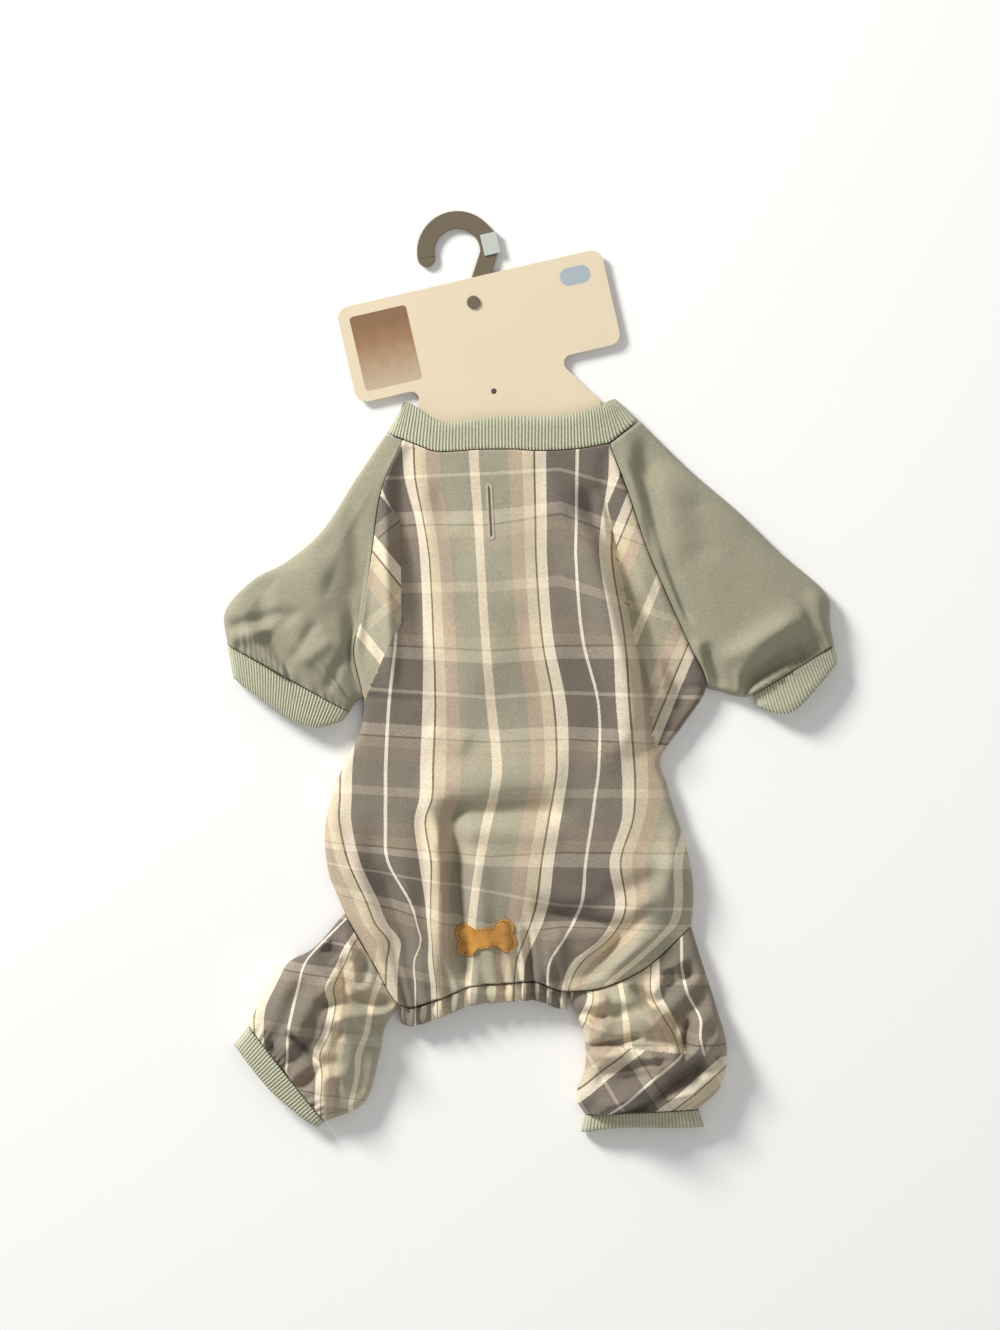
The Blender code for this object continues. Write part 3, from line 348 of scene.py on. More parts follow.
def crease_height(creases, x, y):
    """The height of the narrow folds, in metres, at a place in mm. Each fades out at its ends."""
    total = 0.0
    for crease in creases:
        run_x, run_y = crease.to_x - crease.from_x, crease.to_y - crease.from_y
        length = math.hypot(run_x, run_y)
        off = ((x - crease.from_x) * run_y - (y - crease.from_y) * run_x) / length
        if abs(off) > 4 * crease.width:
            continue
        place = ((x - crease.from_x) * run_x + (y - crease.from_y) * run_y) / length**2
        fade = smooth(-0.12, 0.22, place) * (1 - smooth(0.78, 1.12, place))
        if fade <= 0:
            continue
        share = off / crease.width
        total += fade * CREASE_DEPTH * crease.depth * math.exp(-(share**2))
        total += fade * CREASE_DEPTH * crease.step * math.tanh(3 * share) * math.exp(-abs(share) / 1.6)
    return total * MM


def ruffle(x, y, seed):
    """The slight unevenness of soft cloth, in metres, at a place in mm."""
    wide = noise.noise(Vector((x / 34, y / 40, seed)))
    fine = noise.noise(Vector((x / 11, y / 13, seed + 7)))
    return (0.9 * wide + 0.22 * fine) * MM


def body_plan(across, down):
    """A place on the body in plan, from its share across and down."""
    left = Vector((read_table(BODY_ROWS, down, "left_x"), read_table(BODY_ROWS, down, "left_y")))
    right = Vector((read_table(BODY_ROWS, down, "right_x"), read_table(BODY_ROWS, down, "right_y")))
    place = left.lerp(right, across)
    hang = read_table(BODY_ROWS, down, "drop") * read_table(ROW_HANG, across, "hang")
    return Vector((place.x * BODY_WIDTH, -(place.y + hang) * BACK_LENGTH))


def shoulder_point(side):
    """Where a sleeve's shoulder edge meets the end of the collar seam; side is 0 left, 1 right."""
    reach = 0.0264 if side else -0.0124
    lean = math.radians(38) if side else -math.radians(20)
    return body_plan(side, 0) + reach * Vector((math.cos(lean), math.sin(lean)))


RAGLAN_SHARE = 0.88


def seam_plan(side, share):
    """The line on which a sleeve joins the body and the collar, from the underarm to the shoulder."""
    if share <= RAGLAN_SHARE:
        return body_plan(side, RAGLAN_END * (1 - share / RAGLAN_SHARE))
    return body_plan(side, 0).lerp(shoulder_point(side), (share - RAGLAN_SHARE) / (1 - RAGLAN_SHARE))


def tube_heights(across, width, rise, folds_here):
    """Heights of the upper and lower cloth of a flattened tube, closed at both of its edges."""
    distance = min(across, 1 - across) * width
    closing = EDGE_RADIUS * edge_closing(distance)
    inside = 1 - edge_closing(distance / 3)
    upper = FLAT_HEIGHT + rise * dome(across) + folds_here * inside
    return max(upper, LEAST_HEIGHT) - closing, closing


def gather_height(share, nearness):
    """Puckers that the elastic draws round the tail opening, at a share along its hem."""
    wave = math.cos(2 * math.pi * (GATHERS * share + 0.35 * math.sin(7 * share)))
    strength = 0.7 + 0.5 * noise.noise(Vector((share * 7, 0.3, 0.7)))
    return GATHER_DEPTH * strength * wave * nearness


def body_heights(across, down, x, y):
    """Heights of the back and the belly at a share across and down, which is x, y in mm."""
    width = (body_plan(1, down) - body_plan(0, down)).length
    upper = FLAT_HEIGHT + BODY_RISE * read_table(BODY_ROWS, down, "rise") * dome(across)
    lower = 0.0
    for side in (0, 1):
        distance = (across if side == 0 else 1 - across) * width
        if down < RAGLAN_END:
            share = RAGLAN_SHARE * (1 - down / RAGLAN_END)
            seam = tube_heights(share, 0.16, 0.0072, 0.0)[0]
            upper += (seam - FLAT_HEIGHT) * math.exp(-distance / (8 * EDGE_RADIUS))
        else:
            closing = EDGE_RADIUS * edge_closing(distance)
            upper -= closing
            lower += closing
    distance = min(across, 1 - across) * width
    inside = 1 - edge_closing(distance / 3)
    hem_share = (across - TAIL_SPAN[0]) / (TAIL_SPAN[1] - TAIL_SPAN[0])
    gathers = gather_height(hem_share, smooth(0.80, 1.0, down) ** 1.4) if 0 < hem_share < 1 else 0.0
    folds = fold_height(BODY_FOLDS, across, down) + crease_height(BACK_CREASES, x, y) + ruffle(x, y, 0.0)
    upper += (folds * (1 - 0.7 * smooth(0.94, 1.0, down)) + gathers) * inside
    return max(upper, LEAST_HEIGHT if lower == 0 else upper), lower


def tube_grid(upper_columns, lower_columns, rows, place_at):
    """A tube of cloth, bent from a grid whose columns go over the upper cloth and back under the lower.
    place_at(across, along, on_top) gives each vertex's place in the garment's plan."""
    bm = bmesh.new()
    bmesh.ops.create_grid(bm, x_segments=upper_columns + lower_columns, y_segments=rows, size=1.0)
    across_layer = bm.verts.layers.float.new("across")
    for vert in bm.verts:
        column = (vert.co.x + 1) / 2 * (upper_columns + lower_columns)
        along = round((1 - vert.co.y) / 2, 6)
        on_top = column <= upper_columns + 1e-4
        share = column / upper_columns if on_top else 1 - (column - upper_columns) / lower_columns
        share = min(max(share, 0.0), 1.0)
        across = round(0.62 * share + 0.38 * (0.5 - 0.5 * math.cos(math.pi * share)), 6)
        x, y, z = place_at(across, along, on_top)
        vert.co = (x + PLAN_X, y + PLAN_Y, z)
        vert[across_layer] = across
    bmesh.ops.remove_doubles(bm, verts=bm.verts, dist=1e-6)
    bmesh.ops.recalc_face_normals(bm, faces=bm.faces)
    top = max(bm.faces, key=lambda face: face.calc_center_median().z)
    if top.normal.z < 0:
        bmesh.ops.reverse_faces(bm, faces=bm.faces)
    return bm


def lay_pattern(bm, thread_at):
    """Gives a cloth its UV map in metres of cloth. thread_at(x, y, face_x, face_y, on_top) is in mm."""
    layer = bm.loops.layers.uv.new("cloth")
    for face in bm.faces:
        middle = face.calc_center_median()
        face_x, face_y = (middle.x - PLAN_X) / MM, (PLAN_Y - middle.y) / MM
        on_top = face.normal.z > -0.05
        for loop in face.loops:
            x, y = (loop.vert.co.x - PLAN_X) / MM, (PLAN_Y - loop.vert.co.y) / MM
            warp, weft = thread_at(x, y, face_x, face_y, on_top)
            loop[layer].uv = (warp * MM, weft * MM)


def finish_cloth(name, bm, wall, material, node):
    for face in bm.faces:
        face.smooth = True
    data = bpy.data.meshes.new(name)
    bm.to_mesh(data)
    bm.free()
    data.materials.append(material)
    made = bpy.data.objects.new(name, data)
    bpy.context.scene.collection.objects.link(made)
    if wall:
        thickness = made.modifiers.new("wall", "SOLIDIFY")
        thickness.thickness = wall
        thickness.offset = -1
    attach(made, "root")
    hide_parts(node)
    return made


# The edges of the cloth that lies askew beside the armholes, in mm: places down the body, and how far the
# edge there is from the middle
LEFT_TURN = (30.8, 51.1, 122.5, 136.5, 177.8), (-87.5, -73.5, -72.8, -81.2, -99.4)
RIGHT_TURN = (14.7, 39.2, 207.2), (81.2, 70.7, 104.3)


def snap_to_turns(bm):
    """Moves the vertices nearest to those edges onto them, so that the pattern breaks along a clean line."""
    for vert in bm.verts:
        x, y = (vert.co.x - PLAN_X) / MM, (PLAN_Y - vert.co.y) / MM
        for downs, places in (LEFT_TURN, RIGHT_TURN):
            if downs[0] < y < downs[-1] and abs(x - between(downs, places, y)) < 1.25:
                vert.co.x = between(downs, places, y) * MM + PLAN_X


def body_thread(x, y, face_x, face_y, on_top):
    """Warp and weft of the plaid on the body, turned askew in the folds beside the armholes."""
    weft_places = [between(WEFT_COLUMNS, row[1:], x) for row in BACK_WEFT]
    weft = between(weft_places, [row.thread for row in BACK_WEFT], y)
    if on_top and LEFT_TURN[0][0] < face_y < LEFT_TURN[0][-1] and face_x < between(*LEFT_TURN, face_y):
        return -27 + 0.777 * (x + 93.1) - 0.63 * (y - 66.5), 29.7 + 0.63 * (x + 93.1) + 0.777 * (y - 66.5)
    if on_top and RIGHT_TURN[0][0] < face_y < RIGHT_TURN[0][-1] and face_x > between(*RIGHT_TURN, face_y):
        return 216 + 1.093 * (x - 107.1) + 0.441 * (y - 91.0), weft
    lines = [read_table(BACK_WARP, round(y, 1), column) for column in WarpRow._fields[1:]]
    if x < lines[0]:
        return WARP_THREADS[0] + (x - lines[0]), weft
    if x > lines[-1]:
        return WARP_THREADS[-1] + (x - lines[-1]), weft
    return between(lines, WARP_THREADS, x), weft


def body_place(across, down, on_top):
    gap = SEAM_GAP / 2 / BODY_WIDTH
    fade = 1 - smooth(RAGLAN_END - 0.02, RAGLAN_END + 0.02, down)
    inset = gap * fade
    across_here = inset + (1 - 2 * inset) * across
    place = body_plan(across_here, 0.0012 + 0.9976 * down)
    upper, lower = body_heights(across, down, place.x / MM, -place.y / MM)
    return place.x, place.y, upper if on_top else lower


# The plaid's yarns across half a repeat, in mm from the white line, with the colour of each
PLAID_YARNS = (
    (0.0, "EFE6D2"),
    (0.9, "766C62"),
    (21.5, "EDE0C8"),
    (29.0, "7A6650"),
    (30.4, "DCCDAE"),
    (38.0, "C3AF97"),
    (48.0, "ACA690"),
    (68.4, "F0E2C6"),
)
PLAID_HALF_REPEAT = 72.0


def plaid_ramp(tree, place):
    """The yarn colours at a place across the plaid, in metres of cloth."""
    half = PLAID_HALF_REPEAT * MM
    folded = add_node(tree, "ShaderNodeMath", {"operation": "PINGPONG"}, {0: place, 1: half})
    share = add_node(tree, "ShaderNodeMath", {"operation": "DIVIDE"}, {0: folded.outputs[0], 1: half})
    ramp = add_node(tree, "ShaderNodeValToRGB", inputs={"Fac": share.outputs[0]})
    ramp.color_ramp.interpolation = "CONSTANT"
    stops = ramp.color_ramp.elements
    while len(stops) < len(PLAID_YARNS):
        stops.new(0.5)
    for stop, (start, colour) in zip(stops, PLAID_YARNS):
        stop.position = start / PLAID_HALF_REPEAT
        stop.color = linear(colour)
    return ramp.outputs["Color"]


def blend_colours(tree, share, first, second, way="MIX"):
    """A mix of two colours or sockets."""
    made = add_node(tree, "ShaderNodeMix", {"data_type": "RGBA", "blend_type": way})
    for number, value in ((0, share), (6, first), (7, second)):
        if isinstance(value, bpy.types.NodeSocket):
            tree.links.new(value, made.inputs[number])
        else:
            made.inputs[number].default_value = value
    return made.outputs[2]


# Noise seldom leaves these values
NOISE_RANGE = {"From Min": 0.3, "From Max": 0.7}


def brushed_nap(tree, shader, colour, depth):
    """The nap of brushed cloth over a colour: flecks about 1.6 mm wide, wider clouds, and a soft bump."""
    place = add_node(tree, "ShaderNodeTexCoord")
    fine = add_node(
        tree, "ShaderNodeTexNoise",
        inputs={"Vector": place.outputs["Object"], "Scale": 620.0, "Detail": 5.0},
    )
    wide = add_node(
        tree, "ShaderNodeTexNoise", inputs={"Vector": place.outputs["Object"], "Scale": 26.0, "Detail": 3.0}
    )
    flecks = add_node(
        tree, "ShaderNodeMapRange",
        inputs={"Value": fine.outputs["Fac"], **NOISE_RANGE, "To Min": 0.88, "To Max": 1.1},
    )
    clouds = add_node(
        tree, "ShaderNodeMapRange",
        inputs={"Value": wide.outputs["Fac"], **NOISE_RANGE, "To Min": 0.95, "To Max": 1.04},
    )
    both = add_node(
        tree, "ShaderNodeMath", {"operation": "MULTIPLY"}, {0: flecks.outputs[0], 1: clouds.outputs[0]}
    )
    grey = add_node(tree, "ShaderNodeCombineColor", inputs={i: both.outputs[0] for i in range(3)})
    flecked = blend_colours(tree, 1.0, colour, grey.outputs[0], "MULTIPLY")
    bump = add_node(
        tree, "ShaderNodeBump",
        inputs={"Strength": depth, "Distance": 0.0006, "Height": fine.outputs["Fac"]},
    )
    tree.links.new(flecked, shader.inputs["Base Color"])
    tree.links.new(bump.outputs["Normal"], shader.inputs["Normal"])


# Brushed cotton fleece, woven in a plaid: matt, with a faint sheen at grazing angles
plaid_fleece, tree, shader = new_material("brushed_plaid_fleece", 0.95)
shader.inputs["Sheen Weight"].default_value = 0.12
shader.inputs["Sheen Roughness"].default_value = 0.6
shader.inputs["Specular IOR Level"].default_value = 0.2
cloth_place = add_node(tree, "ShaderNodeUVMap", {"uv_map": "cloth"})
blur = add_node(
    tree, "ShaderNodeTexNoise", inputs={"Vector": cloth_place.outputs[0], "Scale": 1400.0, "Detail": 2.0}
)
blur_shift = add_node(
    tree, "ShaderNodeVectorMath", {"operation": "SCALE"}, {0: blur.outputs["Color"], "Scale": 0.0009}
)
blurred = add_node(
    tree, "ShaderNodeVectorMath", {"operation": "ADD"}, {0: cloth_place.outputs[0], 1: blur_shift.outputs[0]}
)
threads = add_node(tree, "ShaderNodeSeparateXYZ", inputs={0: blurred.outputs[0]})
warp_colour = plaid_ramp(tree, threads.outputs["X"])
weft_colour = plaid_ramp(tree, threads.outputs["Y"])
slub_place = add_node(
    tree, "ShaderNodeMapping", inputs={"Vector": cloth_place.outputs[0], "Scale": (260.0, 1500.0, 1.0)}
)
slubs = add_node(
    tree, "ShaderNodeTexNoise", inputs={"Vector": slub_place.outputs[0], "Scale": 1.0, "Detail": 2.0}
)
weft_share = add_node(
    tree, "ShaderNodeMapRange",
    inputs={"Value": slubs.outputs["Fac"], **NOISE_RANGE, "To Min": 0.15, "To Max": 0.27},
)
plaid_colour = blend_colours(tree, weft_share.outputs[0], warp_colour, weft_colour)
brushed_nap(tree, shader, plaid_colour, 0.25)

body_cloth = tube_grid(112, 48, 230, body_place)
snap_to_turns(body_cloth)
lay_pattern(body_cloth, body_thread)
back_surface = BVHTree.FromBMesh(body_cloth)
finish_cloth(
    "body_cloth", body_cloth, CLOTH, plaid_fleece, "body",
)


# Sleeves. Two raglan sleeves of plain sage fleece, sewn to the body and the collar along a slanting seam,
# each a tube that narrows to its cuff, where the cloth is drawn in.
SLEEVE_LENGTH = 0.185
SLEEVE_RISE = 0.012
TubeRow = namedtuple("TubeRow", "along outer_x outer_y inner_x inner_y rise")
LEFT_SLEEVE_ROWS = (
    TubeRow(0.00, 0.000, 0.000, 0.000, 0.000, 0.60),
    TubeRow(0.20, -0.117, 0.174, -0.016, 0.006, 0.72),
    TubeRow(0.38, -0.242, 0.367, -0.028, 0.016, 1.00),
    TubeRow(0.54, -0.378, 0.484, -0.036, 0.027, 1.00),
    TubeRow(0.70, -0.503, 0.552, -0.042, 0.037, 0.90),
    TubeRow(0.86, -0.608, 0.670, -0.047, 0.045, 0.80),
    TubeRow(1.00, -0.600, 0.800, -0.050, 0.053, 0.60),
)
RIGHT_SLEEVE_ROWS = (
    TubeRow(0.00, 0.000, 0.000, 0.000, 0.000, 0.60),
    TubeRow(0.18, 0.189, 0.185, 0.022, 0.010, 0.76),
    TubeRow(0.36, 0.371, 0.341, 0.060, 0.018, 1.00),
    TubeRow(0.54, 0.534, 0.499, 0.095, 0.030, 1.10),
    TubeRow(0.72, 0.708, 0.655, 0.130, 0.036, 1.15),
    TubeRow(0.88, 0.722, 0.765, 0.160, 0.036, 1.00),
    TubeRow(1.00, 0.738, 0.850, 0.178, 0.026, 0.70),
)
LEFT_SLEEVE_FOLDS = (
    Fold(0.96, 0.86, 0.55, 0.98, 0.050, 0.45),
    Fold(0.98, 0.72, 0.50, 0.90, 0.050, -0.35),
    Fold(0.15, 0.10, 0.60, 0.40, 0.070, -0.35),
    Fold(0.10, 0.60, 0.45, 0.75, 0.060, 0.30),
)
RIGHT_SLEEVE_FOLDS = (
    Fold(0.95, 0.10, 0.35, 0.16, 0.050, -0.35),
    Fold(0.05, 0.75, 0.65, 0.92, 0.060, -0.50),
    Fold(0.08, 0.60, 0.80, 0.76, 0.070, 0.40),
)
LEFT_SLEEVE_CREASES = (
    Crease(-128.8, 60.9, -102.2, 105.7, 12.0, -1.6, 0.0),
    Crease(-144.2, 77.7, -123.2, 112.7, 12.0, 1.3, 0.0),
    Crease(-107.8, 35.7, -98, 133.7, 8.0, -2.0, 0.0),
    Crease(-196, 133.7, -156.8, 125.3, 5.0, 2.8, 0.0),
    Crease(-194.6, 125.3, -151.2, 114.1, 4.0, -1.8, 0.0),
    Crease(-170.8, 135.1, -144.2, 112.7, 4.0, -1.4, 0.0),
    Crease(-149.8, 147.7, -131.6, 121.1, 4.0, -1.5, 0.0),
    Crease(-142.1, 150.5, -121.8, 133.7, 4.5, 1.3, 0.0),
    Crease(-124.6, 168.7, -112, 140.7, 4.0, -1.6, 0.0),
)
RIGHT_SLEEVE_CREASES = (
    Crease(93.8, -11.9, 103.6, 69.3, 8.0, -3.2, 0.0),
    Crease(83.3, -6.3, 100.8, 63.7, 8.0, 1.5, 0.0),
    Crease(113.4, 14.7, 128.8, 77.7, 16.0, 1.6, 0.0),
    Crease(128.8, 34.3, 138.6, 77.7, 12.0, -1.5, 0.0),
    Crease(140, 137.2, 151.2, 168.7, 4.0, -3.2, 0.0),
    Crease(131.6, 133.7, 139.3, 165.9, 4.0, 1.8, 0.0),
    Crease(151.2, 149.1, 202.3, 118.3, 7.0, 3.0, 0.0),
    Crease(160.3, 164.5, 224, 133.7, 7.0, -3.6, 0.0),
    Crease(214.2, 98.7, 225.4, 142.1, 5.0, 2.0, 0.0),
    Crease(168, 175.7, 198.8, 150.5, 4.0, 1.6, 0.0),
)


def tube_plan(rows, length, root_at, across, along):
    """A place on a sleeve or leg. Its first ring follows its root, and later ones straighten out."""

    def side_line(root, side):
        out_x = read_table(rows, along, side + "_x")
        out_y = read_table(rows, along, side + "_y")
        return root + length * Vector((out_x, -out_y))

    inner_root = root_at(0.0)
    outer_root = root_at(1.0)
    bend = root_at(across) - inner_root.lerp(outer_root, across)
    straight = side_line(inner_root, "inner").lerp(side_line(outer_root, "outer"), across)
    return straight + bend * max(1 - along**2, 0.0)


def make_tube(rows, length, rise, root_at, folds, creases, sizes, seed, calm):
    """A sleeve or leg from its root to its cuff. sizes are its columns over, its columns under and its rows,
    seed picks its unevenness, and calm is the share near its root where its folds fade out."""
    width_at = functools.lru_cache(maxsize=None)(
        lambda along: (
            tube_plan(rows, length, root_at, 1, along) - tube_plan(rows, length, root_at, 0, along)
        ).length
    )

    def place_at(across, along, on_top):
        along = 0.0035 + 0.993 * along
        place = tube_plan(rows, length, root_at, across, along)
        x, y = place.x / MM, -place.y / MM
        fade = min(along / calm, 1.0) ** 2
        puckers = 0.0007 * math.cos(2 * math.pi * (15 * across + math.sin(9 * across)))
        puckers *= smooth(0.86, 1.0, along)
        here = (fold_height(folds, across, along) + ruffle(x, y, seed)) * fade
        here += crease_height(creases, x, y) * min(along / 0.06, 1.0) + puckers
        heights = tube_heights(across, width_at(along), rise * read_table(rows, along, "rise"), here)
        return place.x, place.y, heights[0] if on_top else heights[1]

    return tube_grid(*sizes, place_at)


def straight_thread(x, y, face_x, face_y, on_top):
    return x, y


# Brushed cotton fleece, dyed sage in the piece
sage_fleece, tree, shader = new_material("brushed_sage_fleece", 0.95)
shader.inputs["Sheen Weight"].default_value = 0.15
shader.inputs["Sheen Roughness"].default_value = 0.6
shader.inputs["Specular IOR Level"].default_value = 0.2
sage = add_node(tree, "ShaderNodeRGB")
sage.outputs[0].default_value = linear("9E9A84")
brushed_nap(tree, shader, sage.outputs[0], 0.2)

for side, name, rows, folds, creases in (
    (0, "left_sleeve", LEFT_SLEEVE_ROWS, LEFT_SLEEVE_FOLDS, LEFT_SLEEVE_CREASES),
    (1, "right_sleeve", RIGHT_SLEEVE_ROWS, RIGHT_SLEEVE_FOLDS, RIGHT_SLEEVE_CREASES),
):
    sleeve = make_tube(
        rows, SLEEVE_LENGTH, SLEEVE_RISE, functools.partial(seam_plan, side), folds, creases,
        (84, 30, 96), 3.0 + side, 0.12,
    )
    lay_pattern(sleeve, straight_thread)
    finish_cloth(
        name + "_cloth", sleeve, CLOTH, sage_fleece, name,
    )


# Hind legs. Two short legs of the same plaid fleece, sewn round the hips. They were pushed up towards the
# body as the garment was laid down, so their cloth stands in deep crumples.
LEG_LENGTH = 0.150
LEG_RISE = 0.019
LEFT_LEG_ROWS = (
    TubeRow(0.00, 0.000, 0.000, 0.000, 0.000, 0.35),
    TubeRow(0.25, -0.140, 0.159, -0.072, 0.110, 0.75),
    TubeRow(0.50, -0.261, 0.229, -0.098, 0.245, 1.00),
    TubeRow(0.75, -0.369, 0.359, -0.168, 0.460, 0.95),
    TubeRow(1.00, -0.448, 0.523, -0.352, 0.548, 0.40),
)
RIGHT_LEG_ROWS = (
    TubeRow(0.00, 0.000, 0.000, 0.000, 0.000, 0.35),
    TubeRow(0.20, 0.048, 0.155, 0.040, 0.100, 0.75),
    TubeRow(0.42, 0.110, 0.350, 0.080, 0.200, 1.00),
    TubeRow(0.66, 0.168, 0.575, 0.088, 0.350, 1.10),
    TubeRow(0.86, 0.135, 0.750, 0.045, 0.495, 0.95),
    TubeRow(1.00, 0.035, 0.850, 0.085, 0.575, 0.45),
)
LEFT_LEG_FOLDS = (
    Fold(0.02, 0.20, 0.95, 0.24, 0.070, -0.60),
    Fold(0.15, 0.36, 0.55, 0.60, 0.070, 0.40),
    Fold(0.60, 0.30, 0.55, 0.90, 0.060, -0.70),
    Fold(0.42, 0.55, 0.35, 0.95, 0.050, -0.60),
    Fold(0.80, 0.55, 0.75, 0.95, 0.070, -0.40),
)
RIGHT_LEG_FOLDS = (
    Fold(0.05, 0.20, 0.90, 0.20, 0.060, -0.70),
    Fold(0.95, 0.36, 0.35, 0.52, 0.070, -0.80),
    Fold(0.10, 0.30, 0.45, 0.55, 0.060, 0.50),
    Fold(0.15, 0.72, 0.90, 0.70, 0.060, -0.60),
    Fold(0.50, 0.60, 0.95, 0.58, 0.060, 0.50),
    Fold(0.20, 0.88, 0.80, 0.86, 0.050, 0.40),
)
LEFT_LEG_CREASES = (
    Crease(-106.4, 332.5, -92.4, 343.7, 3.5, -5.0, 0.0),
    Crease(-112, 336.7, -107.8, 356.3, 5.0, 2.5, 0.0),
    Crease(-107.8, 340.2, -105, 375.2, 5.0, 2.5, 0.0),
    Crease(-112.7, 352.1, -112, 385.7, 3.5, -2.5, 0.0),
    Crease(-84.7, 342.3, -103.6, 382.2, 6.0, 3.0, 0.0),
    Crease(-93.8, 350.7, -100.8, 375.2, 5.0, -4.0, 0.0),
    Crease(-126, 346.5, -117.6, 354.9, 5.0, -4.0, 0.0),
    Crease(-128.8, 384.3, -74.2, 388.5, 5.0, -5.0, 0.0),
    Crease(-123.2, 394.1, -71.4, 392.7, 6.0, 4.0, 0.0),
    Crease(-121.8, 368.2, -126, 385.7, 5.0, 3.5, 0.0),
    Crease(-119, 388.5, -130.2, 422.1, 4.0, -3.5, 0.0),
    Crease(-116.2, 392.7, -120.4, 427.7, 6.0, 4.0, 0.0),
    Crease(-152.6, 408.1, -131.6, 429.1, 3.5, -5.0, -3.0),
    Crease(-112.7, 401.1, -117.6, 434.7, 7.0, -5.0, 3.0),
    Crease(-98, 406.7, -105, 455.7, 9.0, -4.0, 0.0),
    Crease(-128.8, 434.7, -123.2, 461.3, 5.0, 3.5, 0.0),
    Crease(-117.6, 438.2, -121.8, 462.7, 4.0, -2.5, 0.0),
    Crease(-166.6, 413.7, -151.2, 438.9, 3.5, -3.0, 0.0),
    Crease(-154.7, 368.2, -158.2, 406.7, 9.0, 2.0, 0.0),
    Crease(-142.8, 385.7, -144.2, 420.7, 8.0, 1.5, 0.0),
)
RIGHT_LEG_CREASES = (
    Crease(55.3, 389.9, 70, 380.1, 5.0, 3.5, 0.0),
    Crease(58.8, 401.1, 70, 394.1, 3.5, -3.5, 0.0),
    Crease(70, 378.7, 65.8, 413.7, 7.0, 3.0, 0.0),
    Crease(58.8, 417.9, 93.8, 410.9, 3.5, -6.0, -2.5),
    Crease(85.4, 375.2, 119, 406.7, 5.0, -5.0, -4.0),
    Crease(74.2, 375.2, 113.4, 406.7, 8.0, 4.0, 0.0),
    Crease(107.8, 399.7, 128.8, 419.3, 5.0, -7.0, 0.0),
    Crease(126, 398.3, 121.8, 426.3, 4.0, -6.0, -3.0),
    Crease(58.8, 422.1, 110.6, 420.7, 6.0, 3.5, 0.0),
    Crease(65.8, 434.7, 113.4, 424.9, 3.0, -2.5, 0.0),
    Crease(116.2, 429.1, 57.4, 468.3, 5.0, 4.5, 0.0),
    Crease(128.8, 431.9, 65.8, 478.1, 5.0, -6.5, -3.0),
    Crease(135.8, 392.7, 138.6, 429.1, 7.0, 4.5, 0.0),
    Crease(144.2, 399.7, 128.8, 440.3, 5.0, -4.0, 0.0),
    Crease(113.4, 363.3, 116.2, 375.2, 4.0, -3.5, 0.0),
    Crease(123.2, 359.1, 127.4, 370.3, 3.5, -3.5, 0.0),
    Crease(104.3, 375.2, 102.2, 392.7, 4.0, 2.5, 0.0),
)
LegWarpRow = namedtuple("LegWarpRow", "down first second third fourth")
LEFT_LEG_WARP = (
    LegWarpRow(326.2, -123.2, -109.2, -98, -71.4),
    LegWarpRow(347.9, -145.6, -130.9, -112.7, -78.4),
    LegWarpRow(359.1, -152.6, -140, -117.6, -84),
    LegWarpRow(375.2, -160.3, -144.2, -125.3, -89.6),
    LegWarpRow(389.2, -166.6, -147.7, -123.2, -93.8),
    LegWarpRow(406.7, -168.3, -151.2, -127.4, -96.6),
    LegWarpRow(422.1, -166.6, -151.9, -134.4, -102.2),
    LegWarpRow(438.2, -161, -152.9, -132.3, -103.6),
    LegWarpRow(455.7, -152.6, -145.6, -133, -107.8),
)
LEFT_LEG_THREADS = (-21.5, 0.0, 21.5, 72.0)
RIGHT_LEG_WARP = (
    LegWarpRow(361.2, 77, 100.8, 121.8, 142.8),
    LegWarpRow(380.1, 80.5, 100.8, 126, 147),
    LegWarpRow(396.2, 82.6, 109.2, 134.4, 151.2),
    LegWarpRow(410.2, 84, 117.6, 134.4, 152.6),
    LegWarpRow(427.7, 85.4, 121.8, 138.6, 155.4),
)
RIGHT_LEG_THREADS = (72.0, 29.65, 0.0, -21.5)


def leg_root(span, outer_first):
    """The part of the body's lower edge that a leg joins, read from its tail side to its hip side."""
    start, end = (span[1], span[0]) if outer_first else span
    return lambda share: body_plan(start + (end - start) * share, 1.0)


def leg_lines(rows, threads, x, y):
    lines = [read_table(rows, round(y, 1), column) for column in LegWarpRow._fields[1:]]
    return between(lines, threads, x)


def left_leg_thread(x, y, face_x, face_y, on_top):
    """The plaid on the left leg, which slopes down to the right by a seventh."""
    sloped = y - 0.15 * (x + 154.0)
    weft = between((340.2, 373.8, 404.6, 434.7, 475.3), (288.0, 330.35, 360.0, 389.65, 432.0), sloped)
    warp = leg_lines(LEFT_LEG_WARP, LEFT_LEG_THREADS, x, y)
    return (warp, weft) if on_top else (150 - warp, weft)


def right_leg_thread(x, y, face_x, face_y, on_top):
    """The plaid on the right leg. Below its deep crumple the cloth has turned and lies askew."""
    if on_top and face_y < 416.5 + 0.1 * (face_x - 80.0):
        return leg_lines(RIGHT_LEG_WARP, RIGHT_LEG_THREADS, x, y), 0.94 * (y + 12.0)
    return -0.72 * (x - 115.5) - 0.86 * (y - 427.0), 0.86 * (x - 60.0) - 0.55 * (y - 427.0)


